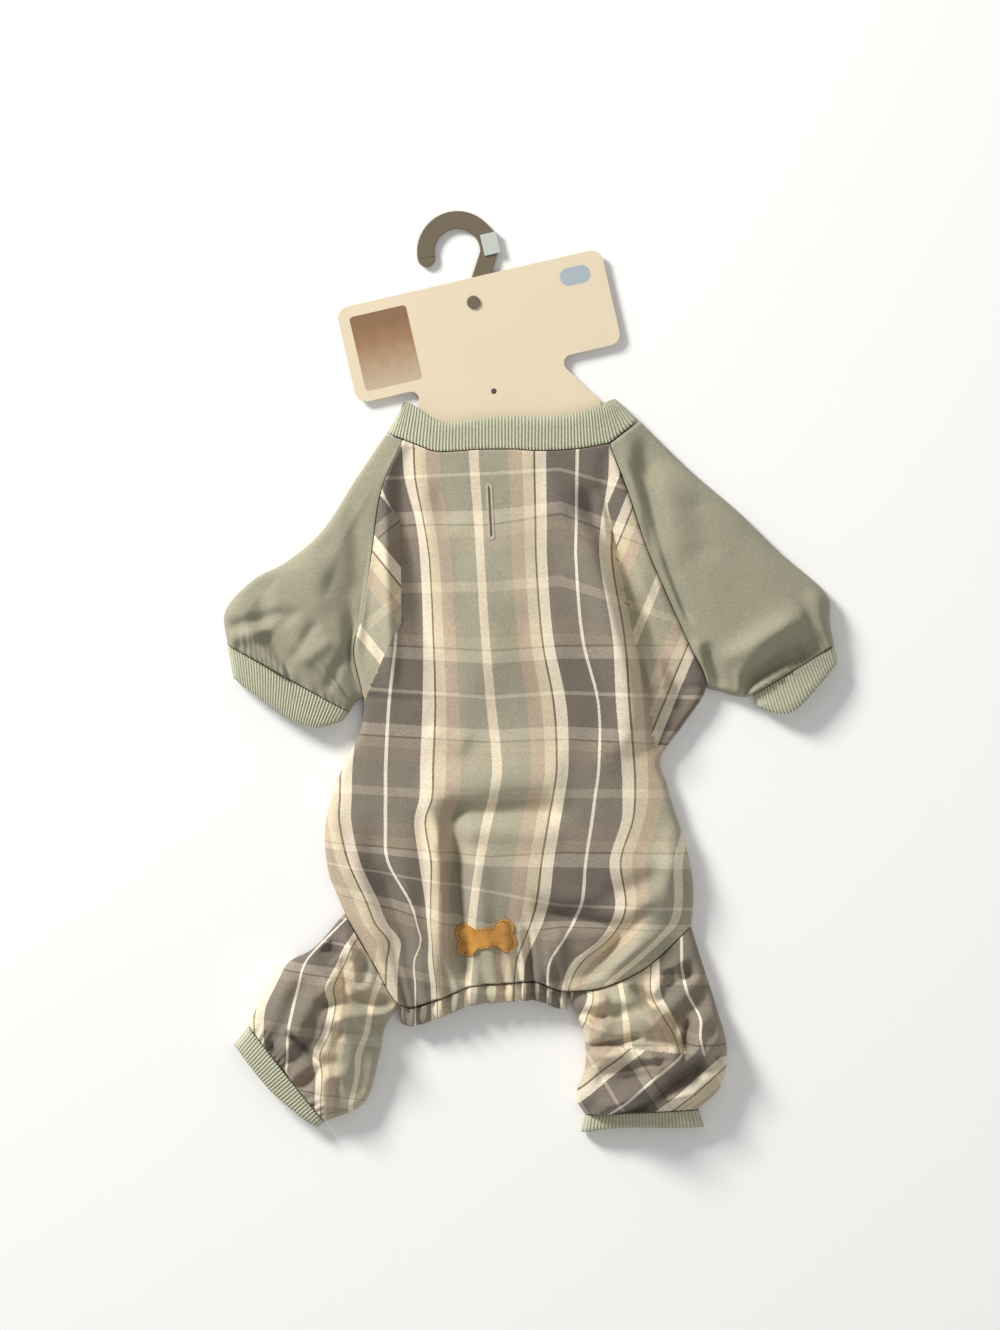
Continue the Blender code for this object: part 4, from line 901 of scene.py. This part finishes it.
left_leg_root = leg_root(LEFT_LEG_SPAN, True)
right_leg_root = leg_root(RIGHT_LEG_SPAN, False)
for name, rows, root, folds, creases, thread_at in (
    ("left_leg", LEFT_LEG_ROWS, left_leg_root, LEFT_LEG_FOLDS, LEFT_LEG_CREASES, left_leg_thread),
    ("right_leg", RIGHT_LEG_ROWS, right_leg_root, RIGHT_LEG_FOLDS, RIGHT_LEG_CREASES, right_leg_thread),
):
    leg = make_tube(rows, LEG_LENGTH, LEG_RISE, root, folds, creases, (110, 36, 130), 9.0, 0.24)
    lay_pattern(leg, thread_at)
    finish_cloth(
        name + "_cloth", leg, CLOTH, plaid_fleece, name,
    )


# Collar and cuffs. Bands of sage rib knit, doubled over and sewn on a little stretched, so that they draw
# the openings in. The ribs run from the seam to the free edge.
RIB_CLOTH = 0.0020
RIB_SPACING = 2.3
RIB_DEPTH = 0.00034
CUFF_RISE = 0.0070
LEG_CUFF_WIDTH = 0.0160
SLEEVE_CUFF_WIDTH = 0.0245
COLLAR_WIDTH = 0.0240
COLLAR_RISE = 0.0075
COLLAR_LIFT = 0.0015
BandPoint = namedtuple("BandPoint", "across out_x out_y")
COLLAR_BAND = (
    BandPoint(0.00, 0.50, 0.85),
    BandPoint(0.07, 0.20, 1.03),
    BandPoint(0.25, 0.03, 0.84),
    BandPoint(0.45, 0.00, 0.94),
    BandPoint(0.70, 0.00, 1.00),
    BandPoint(0.88, -0.20, 1.08),
    BandPoint(1.00, -0.66, 0.62),
)
LEFT_SLEEVE_BAND = (
    BandPoint(0.00, -0.20, -0.25),
    BandPoint(0.20, -0.30, -0.80),
    BandPoint(0.60, -0.05, -1.00),
    BandPoint(1.00, 0.16, -0.90),
)
RIGHT_SLEEVE_BAND = (
    BandPoint(0.00, 0.10, -0.35),
    BandPoint(0.30, 0.30, -0.95),
    BandPoint(0.65, 0.30, -0.70),
    BandPoint(1.00, 0.10, -0.45),
)
LEFT_LEG_BAND = (
    BandPoint(0.00, -0.25, -0.22),
    BandPoint(0.15, -0.45, -0.40),
    BandPoint(0.50, -0.72, -0.62),
    BandPoint(1.00, -0.62, -0.80),
)
RIGHT_LEG_BAND = (
    BandPoint(0.00, -0.15, -0.75),
    BandPoint(0.30, 0.00, -0.60),
    BandPoint(0.75, 0.05, -0.70),
    BandPoint(1.00, 0.25, -0.75),
)


def collar_seam(across):
    left_share, right_share = COLLAR_BAND[1].across, COLLAR_BAND[-2].across
    if across < left_share:
        return shoulder_point(0).lerp(body_plan(0, 0), across / left_share)
    if across > right_share:
        return body_plan(1, 0).lerp(shoulder_point(1), (across - right_share) / (1 - right_share))
    return body_plan((across - left_share) / (right_share - left_share), 0.0)


def make_band(seam_at, out_rows, width, rise, lift, sizes, ripple):
    """A band that leaves a seam: a short flattened tube, open at both ends. ripple(across, along) is in
    metres, and lift is how far the middle of its lower cloth stands off the table."""
    span = (seam_at(1.0) - seam_at(0.0)).length

    def place_at(across, along, on_top):
        out = Vector((read_table(out_rows, across, "out_x"), read_table(out_rows, across, "out_y")))
        place = seam_at(across) + out.normalized() * SEAM_GAP * 0.6 + out * width * along
        upper, lower = tube_heights(across, span, rise, ripple(across, along))
        # The free edge rolls down a little
        upper -= 0.0012 * smooth(0.8, 1.0, along)
        middle = max(1 - edge_closing(min(across, 1 - across) * span / 6), 0.0)
        return place.x, place.y, upper if on_top else lower + lift * middle

    return tube_grid(*sizes, place_at)


# Cotton rib knit: matt ridges, each a column of loops, with painted shade that darkens the grooves between
# them. The across attribute says how far up its ridge a place is, and sets how much painted groove shade that
# place gets.
rib_knit, tree, shader = new_material("sage_rib_knit", 0.92)
shader.inputs["Sheen Weight"].default_value = 0.12
shader.inputs["Specular IOR Level"].default_value = 0.2
groove_shade_share = add_node(tree, "ShaderNodeAttribute", {"attribute_name": "across"})
# Painted shade: the groove colour is darker and the ridge colour lighter, following the rib relief
knit_colour_with_painted_groove_shade = blend_colours(tree, groove_shade_share.outputs["Fac"], linear("A8A98F"), linear("CBCBB2"))
brushed_nap(tree, shader, knit_colour_with_painted_groove_shade, 0.35)


def end_of(rows, length, root_at):
    return lambda across: tube_plan(rows, length, root_at, across, 1.0)


left_sleeve_end = end_of(LEFT_SLEEVE_ROWS, SLEEVE_LENGTH, functools.partial(seam_plan, 0))
right_sleeve_end = end_of(RIGHT_SLEEVE_ROWS, SLEEVE_LENGTH, functools.partial(seam_plan, 1))
left_leg_end = end_of(LEFT_LEG_ROWS, LEG_LENGTH, left_leg_root)
right_leg_end = end_of(RIGHT_LEG_ROWS, LEG_LENGTH, right_leg_root)

for name, seam_at, out_rows, width, rise, lift, flat, area in (
    ("collar", collar_seam, COLLAR_BAND, COLLAR_WIDTH, COLLAR_RISE, COLLAR_LIFT, (0.34, 0.026), 0.0085),
    (
        "left_sleeve_cuff", left_sleeve_end, LEFT_SLEEVE_BAND, SLEEVE_CUFF_WIDTH, CUFF_RISE, 0,
        (0.2, 0.025), 0.0045,
    ),
    (
        "right_sleeve_cuff", right_sleeve_end, RIGHT_SLEEVE_BAND, SLEEVE_CUFF_WIDTH, CUFF_RISE, 0,
        (0.2, 0.025), 0.004,
    ),
    ("left_leg_cuff", left_leg_end, LEFT_LEG_BAND, LEG_CUFF_WIDTH, CUFF_RISE, 0, (0.19, 0.018), 0.003),
    ("right_leg_cuff", right_leg_end, RIGHT_LEG_BAND, LEG_CUFF_WIDTH, CUFF_RISE, 0, (0.2, 0.018), 0.0028),
):
    ribs = round((seam_at(1.0) - seam_at(0.0)).length / MM / RIB_SPACING)

    def rib_relief(across, along, count=ribs):
        return RIB_DEPTH * math.cos(2 * math.pi * count * across)

    band = make_band(seam_at, out_rows, width, rise, lift, (ribs * 8, ribs * 3, 9), rib_relief)
    # The across attribute becomes the height up each rib, which paints the grooves darker as shade
    across_layer = band.verts.layers.float["across"]
    for vert in band.verts:
        vert[across_layer] = 0.5 + 0.5 * math.cos(2 * math.pi * ribs * vert[across_layer])
    finish_cloth(
        name + "_rib", band, RIB_CLOTH, rib_knit, name,
    )


# Tail hem. A casing of the plaid fleece with elastic inside, which draws the edge over the tail into
# puckers. It is topstitched along its upper edge.
HEM_WIDTH = 0.0126
HEM_RISE = 0.0060
HEM_OUT = (BandPoint(0.0, 0.04, -1.0), BandPoint(1.0, 0.04, -1.0))


def hem_seam(across):
    return body_plan(TAIL_SPAN[0] + (TAIL_SPAN[1] - TAIL_SPAN[0]) * across, 1.0)


def hem_relief(across, along):
    # The elastic fills the casing between its seam and its edge
    elastic = 0.0016 * math.sin(math.pi * min(along * 1.1, 1.0))
    return gather_height(across, 1.15) + elastic


hem = make_band(hem_seam, HEM_OUT, HEM_WIDTH, HEM_RISE, 0.0, (240, 80, 12), hem_relief)
lay_pattern(hem, body_thread)
hem_surface = BVHTree.FromBMesh(hem)
finish_cloth(
    "tail_hem_cloth", hem, CLOTH, plaid_fleece, "tail_hem",
)


# Stitching. Pale cotton thread: a row of topstitches above the tail hem, and the close stitches round the leash
# slot.
STITCH_WIDTH = 0.0007


def height_on(surface, x, y):
    """The height of a cloth surface under a place, found by a ray from above."""
    hit = surface.ray_cast(Vector((x, y, 1.0)), Vector((0, 0, -1)))[0]
    return hit.z if hit else None


def add_stitch(bm, surface, x, y, angle, length, sink=0.0002):
    """One stitch: a short bar with rounded ends, sunk a little into the cloth."""
    height = height_on(surface, x, y)
    if height is None:
        return
    made = bmesh.ops.create_icosphere(bm, subdivisions=1, radius=0.5)
    bmesh.ops.scale(bm, vec=(length, STITCH_WIDTH, STITCH_WIDTH), verts=made["verts"])
    bmesh.ops.rotate(bm, matrix=Matrix.Rotation(angle, 3, "Z"), verts=made["verts"])
    bmesh.ops.translate(bm, vec=(x, y, height + STITCH_WIDTH / 2 - sink), verts=made["verts"])


def finish_hard(name, bm, material, nodes=(), smooth=True, bevel=0.0):
    """Makes a piece that isn't cloth, with its edges eased by a bevel where one is given."""
    for face in bm.faces:
        face.smooth = smooth
    data = bpy.data.meshes.new(name)
    bm.to_mesh(data)
    bm.free()
    if smooth:
        data.set_sharp_from_angle(angle=math.radians(38))
    data.materials.append(material)
    made = bpy.data.objects.new(name, data)
    bpy.context.scene.collection.objects.link(made)
    if bevel:
        eased = made.modifiers.new("eased_edges", "BEVEL")
        eased.width = bevel
        eased.segments = 2
        eased.limit_method = "ANGLE"
        eased.angle_limit = math.radians(40)
    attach(made, "root")
    if nodes:
        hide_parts(*nodes)
    return made


# Mercerised cotton thread: a little shine along each stitch
cotton_thread, tree, shader = new_material("cotton_thread", 0.6)
shader.inputs["Sheen Weight"].default_value = 0.2
twist_place = add_node(tree, "ShaderNodeTexCoord")
twist = add_node(
    tree, "ShaderNodeTexNoise",
    inputs={"Vector": twist_place.outputs["Object"], "Scale": 900.0, "Detail": 2.0},
)
twist_colour = blend_colours(tree, twist.outputs["Fac"], linear("B9AF94"), linear("E6DEC8"))
tree.links.new(twist_colour, shader.inputs["Base Color"])

hem_stitches = bmesh.new()
steps = 62
for i in range(steps):
    share = (i + 0.5) / steps
    here, ahead = hem_seam(share), hem_seam(min(share + 0.01, 1.0))
    run = ahead - here
    place = here + Vector((PLAN_X, PLAN_Y - 0.0016))
    add_stitch(hem_stitches, hem_surface, place.x, place.y, math.atan2(run.y, run.x), 0.0013)
finish_hard("hem_stitches", hem_stitches, cotton_thread)


# Leash slot. A slit in the back, for the ring of a harness under the garment, bound with close stitches
# like a long buttonhole.
SLOT_LENGTH = 0.0350
SLOT_WIDTH = 0.0014
SLOT_BORDER = 0.0017
SLOT_LEAN = math.radians(3)
slot_middle = body_plan(0.44, 0.118) + Vector((PLAN_X, PLAN_Y))


def on_slot(x, y):
    """A place by the slot's own middle and lean, in the frame."""
    turned = Matrix.Rotation(SLOT_LEAN, 2) @ Vector((x, y))
    return slot_middle + turned


binding = bmesh.new()
spacing = 0.00062
count = int(SLOT_LENGTH / spacing)
for side in (-1, 1):
    for i in range(count + 1):
        place = on_slot(side * (SLOT_WIDTH + SLOT_BORDER) / 2, (i / count - 0.5) * SLOT_LENGTH)
        add_stitch(binding, back_surface, place.x, place.y, SLOT_LEAN, SLOT_BORDER * 1.15, 0.0001)
for end in (-1, 1):
    for i in range(1, 8):
        angle = math.pi * i / 8 * end
        reach = (SLOT_WIDTH + SLOT_BORDER) / 2
        place = on_slot(reach * math.cos(angle), end * SLOT_LENGTH / 2 + reach * math.sin(angle))
        add_stitch(binding, back_surface, place.x, place.y, SLOT_LEAN + angle, SLOT_BORDER, 0.0001)
finish_hard("leash_slot_stitches", binding, cotton_thread, ["leash_slot_binding"])

# The slit itself, held open a little: a dark strip laid just over the back, its colour painted shadow standing
# in for the shade inside the slit
slit = bmesh.new()
bmesh.ops.create_grid(slit, x_segments=2, y_segments=24, size=0.5)
for vert in slit.verts:
    place = on_slot(vert.co.x * SLOT_WIDTH, vert.co.y * (SLOT_LENGTH - 0.001))
    vert.co = (*place, height_on(back_surface, *place) + 0.00005)
# A flat dark colour: painted shadow, not the fleece's own colour
painted_slot_shade, tree, shader = new_material("painted_slot_shadow", 1.0)
shader.inputs["Base Color"].default_value = linear("6E6655")
inside_noise = add_node(tree, "ShaderNodeTexNoise", inputs={"Scale": 800.0, "Detail": 3.0})
inside_bump = add_node(
    tree, "ShaderNodeBump",
    inputs={"Strength": 0.3, "Distance": 0.0004, "Height": inside_noise.outputs["Fac"]},
)
tree.links.new(inside_bump.outputs["Normal"], shader.inputs["Normal"])
finish_hard("slot_shadow_strip", slit, painted_slot_shade)


# Bone patch. A bone cut from tan leather 1.6 mm thick and sewn on near the tail, with the sewing thread
# showing all round. Its face is left plain.
PATCH_LENGTH = 0.0415
PATCH_HEIGHT = 0.0230
PATCH_THICKNESS = 0.0016
PATCH_TURN = math.radians(8)
patch_down = -body_plan(0.5, 0.905).y
patch_middle = Vector((-0.055 * BODY_WIDTH + PLAN_X, PLAN_Y - patch_down))


def bone_reach(angle):
    """How far the bone's edge is from its middle at an angle: the farthest of its four lobes or its bar."""
    lobe = PATCH_HEIGHT * 0.29
    out, up = PATCH_LENGTH / 2 - lobe, PATCH_HEIGHT / 2 - lobe
    way = Vector((abs(math.cos(angle)), abs(math.sin(angle))))
    centre = Vector((out, up))
    along = centre.dot(way)
    off = centre.length_squared - along**2
    reaches = [along + math.sqrt(lobe**2 - off)] if off < lobe**2 else []
    bar_end, bar_side = out + lobe * 0.55, PATCH_HEIGHT * 0.30
    reaches.append(min(bar_end / max(way.x, 1e-6), bar_side / max(way.y, 1e-6)))
    return max(reaches)


def bone_places(share, count):
    """Places evenly round the bone, drawn in towards its middle by a share."""
    fine = [i / 720 * 2 * math.pi for i in range(721)]
    line = [share * bone_reach(a) * Vector((math.cos(a), math.sin(a))) for a in fine]
    lengths = [0.0]
    for before, after in zip(line, line[1:]):
        lengths.append(lengths[-1] + (after - before).length)
    places, j = [], 0
    for i in range(count):
        target = lengths[-1] * i / count
        while lengths[j + 1] < target:
            j += 1
        part = (target - lengths[j]) / max(lengths[j + 1] - lengths[j], 1e-9)
        places.append(line[j].lerp(line[j + 1], part))
    return places


def on_patch(place):
    return patch_middle + Matrix.Rotation(PATCH_TURN, 2) @ place


# The bone's edge is rounded, and its face is pressed down a little where the seam runs
PATCH_RINGS = ((1.0, 0.15), (1.0, 0.75), (0.975, 0.97), (0.93, 1.0), (0.90, 0.86), (0.87, 0.82), (0.84, 0.88),
               (0.80, 0.98), (0.62, 1.0), (0.42, 1.0), (0.22, 1.0))
patch = bmesh.new()
rounds = 144
bmesh.ops.create_cone(
    patch, cap_ends=True, cap_tris=False, segments=rounds, radius1=1.0, radius2=1.0,
    depth=len(PATCH_RINGS) - 1.0,
)
walls = [edge for edge in patch.edges if abs(edge.verts[0].co.z - edge.verts[1].co.z) > 0.5]
bmesh.ops.subdivide_edges(patch, edges=walls, cuts=len(PATCH_RINGS) - 2)
half_depth = (len(PATCH_RINGS) - 1) / 2
outlines = [bone_places(share, rounds) for share, _ in PATCH_RINGS]
for vert in patch.verts:
    ring = min(max(round(vert.co.z + half_depth), 0), len(PATCH_RINGS) - 1)
    spoke = round(math.atan2(vert.co.y, vert.co.x) / (2 * math.pi) * rounds) % rounds
    place = on_patch(outlines[ring][spoke])
    height = height_on(back_surface, *place) + 0.0003 + PATCH_THICKNESS * PATCH_RINGS[ring][1]
    vert.co = (*place, height)
bmesh.ops.recalc_face_normals(patch, faces=patch.faces)

# Vegetable-tanned cowhide: fine grain with a soft shine, a little darker at its pressed edge
tan_leather, tree, shader = new_material("tan_cowhide", 0.5)
shader.inputs["IOR"].default_value = 1.5
hide_place = add_node(tree, "ShaderNodeTexCoord")
pores = add_node(
    tree, "ShaderNodeTexVoronoi", inputs={"Vector": hide_place.outputs["Object"], "Scale": 1100.0}
)
mottle = add_node(
    tree, "ShaderNodeTexNoise",
    inputs={"Vector": hide_place.outputs["Object"], "Scale": 160.0, "Detail": 5.0},
)
hide_colour = blend_colours(tree, mottle.outputs["Fac"], linear("C48638"), linear("E0A855"))
tree.links.new(hide_colour, shader.inputs["Base Color"])
hide_bump = add_node(
    tree, "ShaderNodeBump",
    inputs={"Strength": 0.25, "Distance": 0.0003, "Height": pores.outputs["Distance"]},
)
tree.links.new(hide_bump.outputs["Normal"], shader.inputs["Normal"])
patch_surface = BVHTree.FromBMesh(patch)
finish_hard("bone_patch_leather", patch, tan_leather, ["bone_patch"])

patch_stitches = bmesh.new()
seam_line = bone_places(0.87, 46)
for i, place in enumerate(seam_line):
    run = seam_line[(i + 1) % len(seam_line)] - seam_line[i - 1]
    angle = math.atan2(run.y, run.x) + PATCH_TURN
    add_stitch(patch_stitches, patch_surface, *on_patch(place), angle, 0.0015, 0.00025)
waxed_thread, tree, shader = new_material("waxed_brown_thread", 0.5)
wax_noise = add_node(tree, "ShaderNodeTexNoise", inputs={"Scale": 900.0, "Detail": 2.0})
wax_noise_colour = blend_colours(tree, wax_noise.outputs["Fac"], linear("6B3F16"), linear("85531F"))
tree.links.new(wax_noise_colour, shader.inputs["Base Color"])
finish_hard("patch_stitches", patch_stitches, waxed_thread)


# Card. The card hanger that the garment is sold on: a cream header with round corners, a narrow neck and an
# insert that goes down inside the garment. Two plain blocks of colour are printed on it.
CARD_TURN = math.radians(13)
CARD_TOP = Vector((-0.0266 + PLAN_X, 0.1189 + PLAN_Y))
CARD_FACE = 0.0046


def card_place(side, down):
    """A place on the card, from its middle line and its top edge."""
    return CARD_TOP + Matrix.Rotation(CARD_TURN, 2) @ Vector((side, -down))


def cad_copy(node):
    """A CAD node's mesh, joined up, with its flat faces made whole."""
    bm = bmesh.new()
    bm.from_mesh(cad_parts[node].data)
    bmesh.ops.remove_doubles(bm, verts=bm.verts, dist=1e-6)
    bmesh.ops.dissolve_limit(bm, angle_limit=math.radians(1), verts=bm.verts, edges=bm.edges)
    return bm


# Solid bleached board, 0.8 mm, uncoated: matt, cream, with fibres that hardly show
uncoated_board, tree, shader = new_material("uncoated_cream_board", 0.75)
shader.inputs["Specular IOR Level"].default_value = 0.3
board_place = add_node(tree, "ShaderNodeTexCoord")
fibres = add_node(
    tree, "ShaderNodeTexNoise",
    inputs={"Vector": board_place.outputs["Object"], "Scale": 420.0, "Detail": 6.0},
)
shade_place = add_node(
    tree, "ShaderNodeTexNoise",
    inputs={"Vector": board_place.outputs["Object"], "Scale": 14.0, "Detail": 2.0},
)
board_mix = add_node(
    tree, "ShaderNodeMath", {"operation": "MULTIPLY_ADD"},
    {0: fibres.outputs["Fac"], 1: 0.35, 2: shade_place.outputs["Fac"]},
)
board_colour = blend_colours(tree, board_mix.outputs[0], linear("E2D2B4"), linear("EADABE"))
tree.links.new(board_colour, shader.inputs["Base Color"])
board_bump = add_node(
    tree, "ShaderNodeBump", inputs={"Strength": 0.08, "Distance": 0.0002, "Height": fibres.outputs["Fac"]}
)
tree.links.new(board_bump.outputs["Normal"], shader.inputs["Normal"])
finish_hard(
    "card_board", cad_copy("card"), uncoated_board, ["card"], smooth=False, bevel=0.00015
)


def printed_block(name, side, down, width, height, corner, material):
    """A block of print, 0.05 mm over the card's face so that the two never share a place."""
    bm = bmesh.new()
    bmesh.ops.create_grid(bm, x_segments=1, y_segments=1, size=0.5)
    bmesh.ops.scale(bm, vec=(width, height, 1), verts=bm.verts)
    bmesh.ops.bevel(
        bm, geom=bm.verts[:], offset=corner, affect="VERTICES", segments=8, profile=0.5, material=-1
    )
    layer = bm.loops.layers.uv.new("print")
    for face in bm.faces:
        for loop in face.loops:
            loop[layer].uv = (loop.vert.co.x / width + 0.5, loop.vert.co.y / height + 0.5)
    bmesh.ops.rotate(bm, matrix=Matrix.Rotation(CARD_TURN, 3, "Z"), verts=bm.verts)
    place = card_place(side, down)
    bmesh.ops.translate(bm, vec=(*place, CARD_FACE + 0.00005), verts=bm.verts)
    return finish_hard(name, bm, material, smooth=False)


# Offset ink on board: a soft brown field that pales towards its foot
field_ink, tree, shader = new_material("brown_field_ink", 0.6)
print_place = add_node(tree, "ShaderNodeUVMap", {"uv_map": "print"})
print_axes = add_node(tree, "ShaderNodeSeparateXYZ", inputs={0: print_place.outputs[0]})
print_cloud = add_node(
    tree, "ShaderNodeTexNoise", inputs={"Vector": print_place.outputs[0], "Scale": 5.0, "Detail": 4.0}
)
print_height = add_node(
    tree, "ShaderNodeMath", {"operation": "MULTIPLY_ADD"},
    {0: print_cloud.outputs["Fac"], 1: 0.3, 2: print_axes.outputs["Y"]},
)
field = add_node(tree, "ShaderNodeValToRGB", inputs={"Fac": print_height.outputs[0]})
for place, colour in ((0.45, "B79B7D"), (0.75, "A07C58")):
    field.color_ramp.elements.new(place).color = linear(colour)
field.color_ramp.elements[0].color = linear("D2BFA4")
field.color_ramp.elements[-1].color = linear("8E6A4B")
tree.links.new(field.outputs["Color"], shader.inputs["Base Color"])
printed_block("card_brown_field", -0.0669, 0.0344, 0.0405, 0.0530, 0.0025, field_ink)

# A pale blue-grey oval near the header's corner
oval_ink, tree, shader = new_material("pale_blue_ink", 0.6)
oval_noise = add_node(tree, "ShaderNodeTexNoise", inputs={"Scale": 300.0, "Detail": 2.0})
oval_noise_colour = blend_colours(tree, oval_noise.outputs["Fac"], linear("A3B0B8"), linear("B2BEC4"))
tree.links.new(oval_noise_colour, shader.inputs["Base Color"])
printed_block("card_size_oval", 0.0735, 0.0147, 0.0215, 0.0125, 0.0060, oval_ink)


# Hook. Moulded in taupe plastic with its stem and the stud that snaps through the card's hole.
HOOK_THICKNESS = 0.0024
HOOK_BAND = 0.0124
HOOK_RADIUS = 0.0221
HOOK_TIP_ANGLE = math.radians(192)
HOOK_RISE = 0.0373
HOOK_BOTTOM = 0.0011
STEM_LEAN = math.radians(17)
stud_place = card_place(0, 0.0170)
stem_way = Vector((math.sin(STEM_LEAN), math.cos(STEM_LEAN)))
arc_middle = stud_place + HOOK_RISE * stem_way - Vector((HOOK_RADIUS, 0))


def spun_end(bm, place, way, half, turn):
    """A round end of the band: half of its cross-section turned half way round."""
    across = Vector((way.y, -way.x))
    corners = [
        bm.verts.new((*(place + across * out), HOOK_BOTTOM + up))
        for out, up in ((0, 0), (half, 0), (half, HOOK_THICKNESS), (0, HOOK_THICKNESS))
    ]
    face = bm.faces.new(corners)
    bmesh.ops.spin(
        bm, geom=[face, *face.verts, *face.edges], cent=(*place, 0), axis=(0, 0, 1), angle=turn,
        steps=16, use_duplicate=False,
    )


hook = bmesh.new()
half = HOOK_BAND / 2
section = [
    hook.verts.new((arc_middle.x + HOOK_RADIUS + out, arc_middle.y, HOOK_BOTTOM + up))
    for out, up in ((-half, 0), (half, 0), (half, HOOK_THICKNESS), (-half, HOOK_THICKNESS))
]
section_face = hook.faces.new(section)
stem = bmesh.ops.extrude_face_region(hook, geom=[section_face])
stem_end = [item for item in stem["geom"] if isinstance(item, bmesh.types.BMVert)]
right = Vector((stem_way.y, -stem_way.x))
for vert in stem_end:
    out = half if vert.co.x > arc_middle.x + HOOK_RADIUS else -half
    vert.co.x, vert.co.y = stud_place + right * out
bmesh.ops.spin(
    hook, geom=[section_face, *section, *section_face.edges], cent=(*arc_middle, 0), axis=(0, 0, 1),
    angle=HOOK_TIP_ANGLE, steps=64, use_duplicate=False,
)
tip_spoke = Vector((math.cos(HOOK_TIP_ANGLE), math.sin(HOOK_TIP_ANGLE)))
spun_end(hook, arc_middle + HOOK_RADIUS * tip_spoke, Vector((-tip_spoke.y, tip_spoke.x)), half, math.pi)
spun_end(hook, stud_place, stem_way, half, -math.pi)
bmesh.ops.remove_doubles(hook, verts=hook.verts, dist=1e-6)
bmesh.ops.recalc_face_normals(hook, faces=hook.faces)
for radius, low, high in ((0.0030, HOOK_BOTTOM + HOOK_THICKNESS / 2, 0.0052), (0.0046, 0.0049, 0.0061)):
    disc = bmesh.ops.create_cone(
        hook, cap_ends=True, cap_tris=False, segments=48, radius1=radius, radius2=radius, depth=high - low
    )
    bmesh.ops.translate(hook, vec=(*stud_place, (low + high) / 2), verts=disc["verts"])

# Polypropylene, moulded in a fine matt tool: satin, with the least unevenness
moulded_taupe, tree, shader = new_material("moulded_taupe_plastic", 0.42)
shader.inputs["IOR"].default_value = 1.49
tool_grain = add_node(tree, "ShaderNodeTexNoise", inputs={"Scale": 700.0, "Detail": 3.0})
tool_grain_colour = blend_colours(tree, tool_grain.outputs["Fac"], linear("6A5F4C"), linear("786C59"))
tree.links.new(tool_grain_colour, shader.inputs["Base Color"])
tool_bump = add_node(
    tree, "ShaderNodeBump",
    inputs={"Strength": 0.06, "Distance": 0.0002, "Height": tool_grain.outputs["Fac"]},
)
tree.links.new(tool_bump.outputs["Normal"], shader.inputs["Normal"])
finish_hard("hook_moulding", hook, moulded_taupe, ["hook"], bevel=0.0004)


# Size clip. A small channel, moulded in pale polystyrene and pushed over the hook's outer edge.
pale_polystyrene, tree, shader = new_material("pale_polystyrene", 0.3)
shader.inputs["IOR"].default_value = 1.55
clip_noise = add_node(tree, "ShaderNodeTexNoise", inputs={"Scale": 200.0, "Detail": 2.0})
clip_noise_colour = blend_colours(tree, clip_noise.outputs["Fac"], linear("BFC6BC"), linear("CBD1C8"))
tree.links.new(clip_noise_colour, shader.inputs["Base Color"])
finish_hard(
    "size_clip_channel", cad_copy("size_clip"), pale_polystyrene, ["size_clip"],
    smooth=False, bevel=0.0002,
)
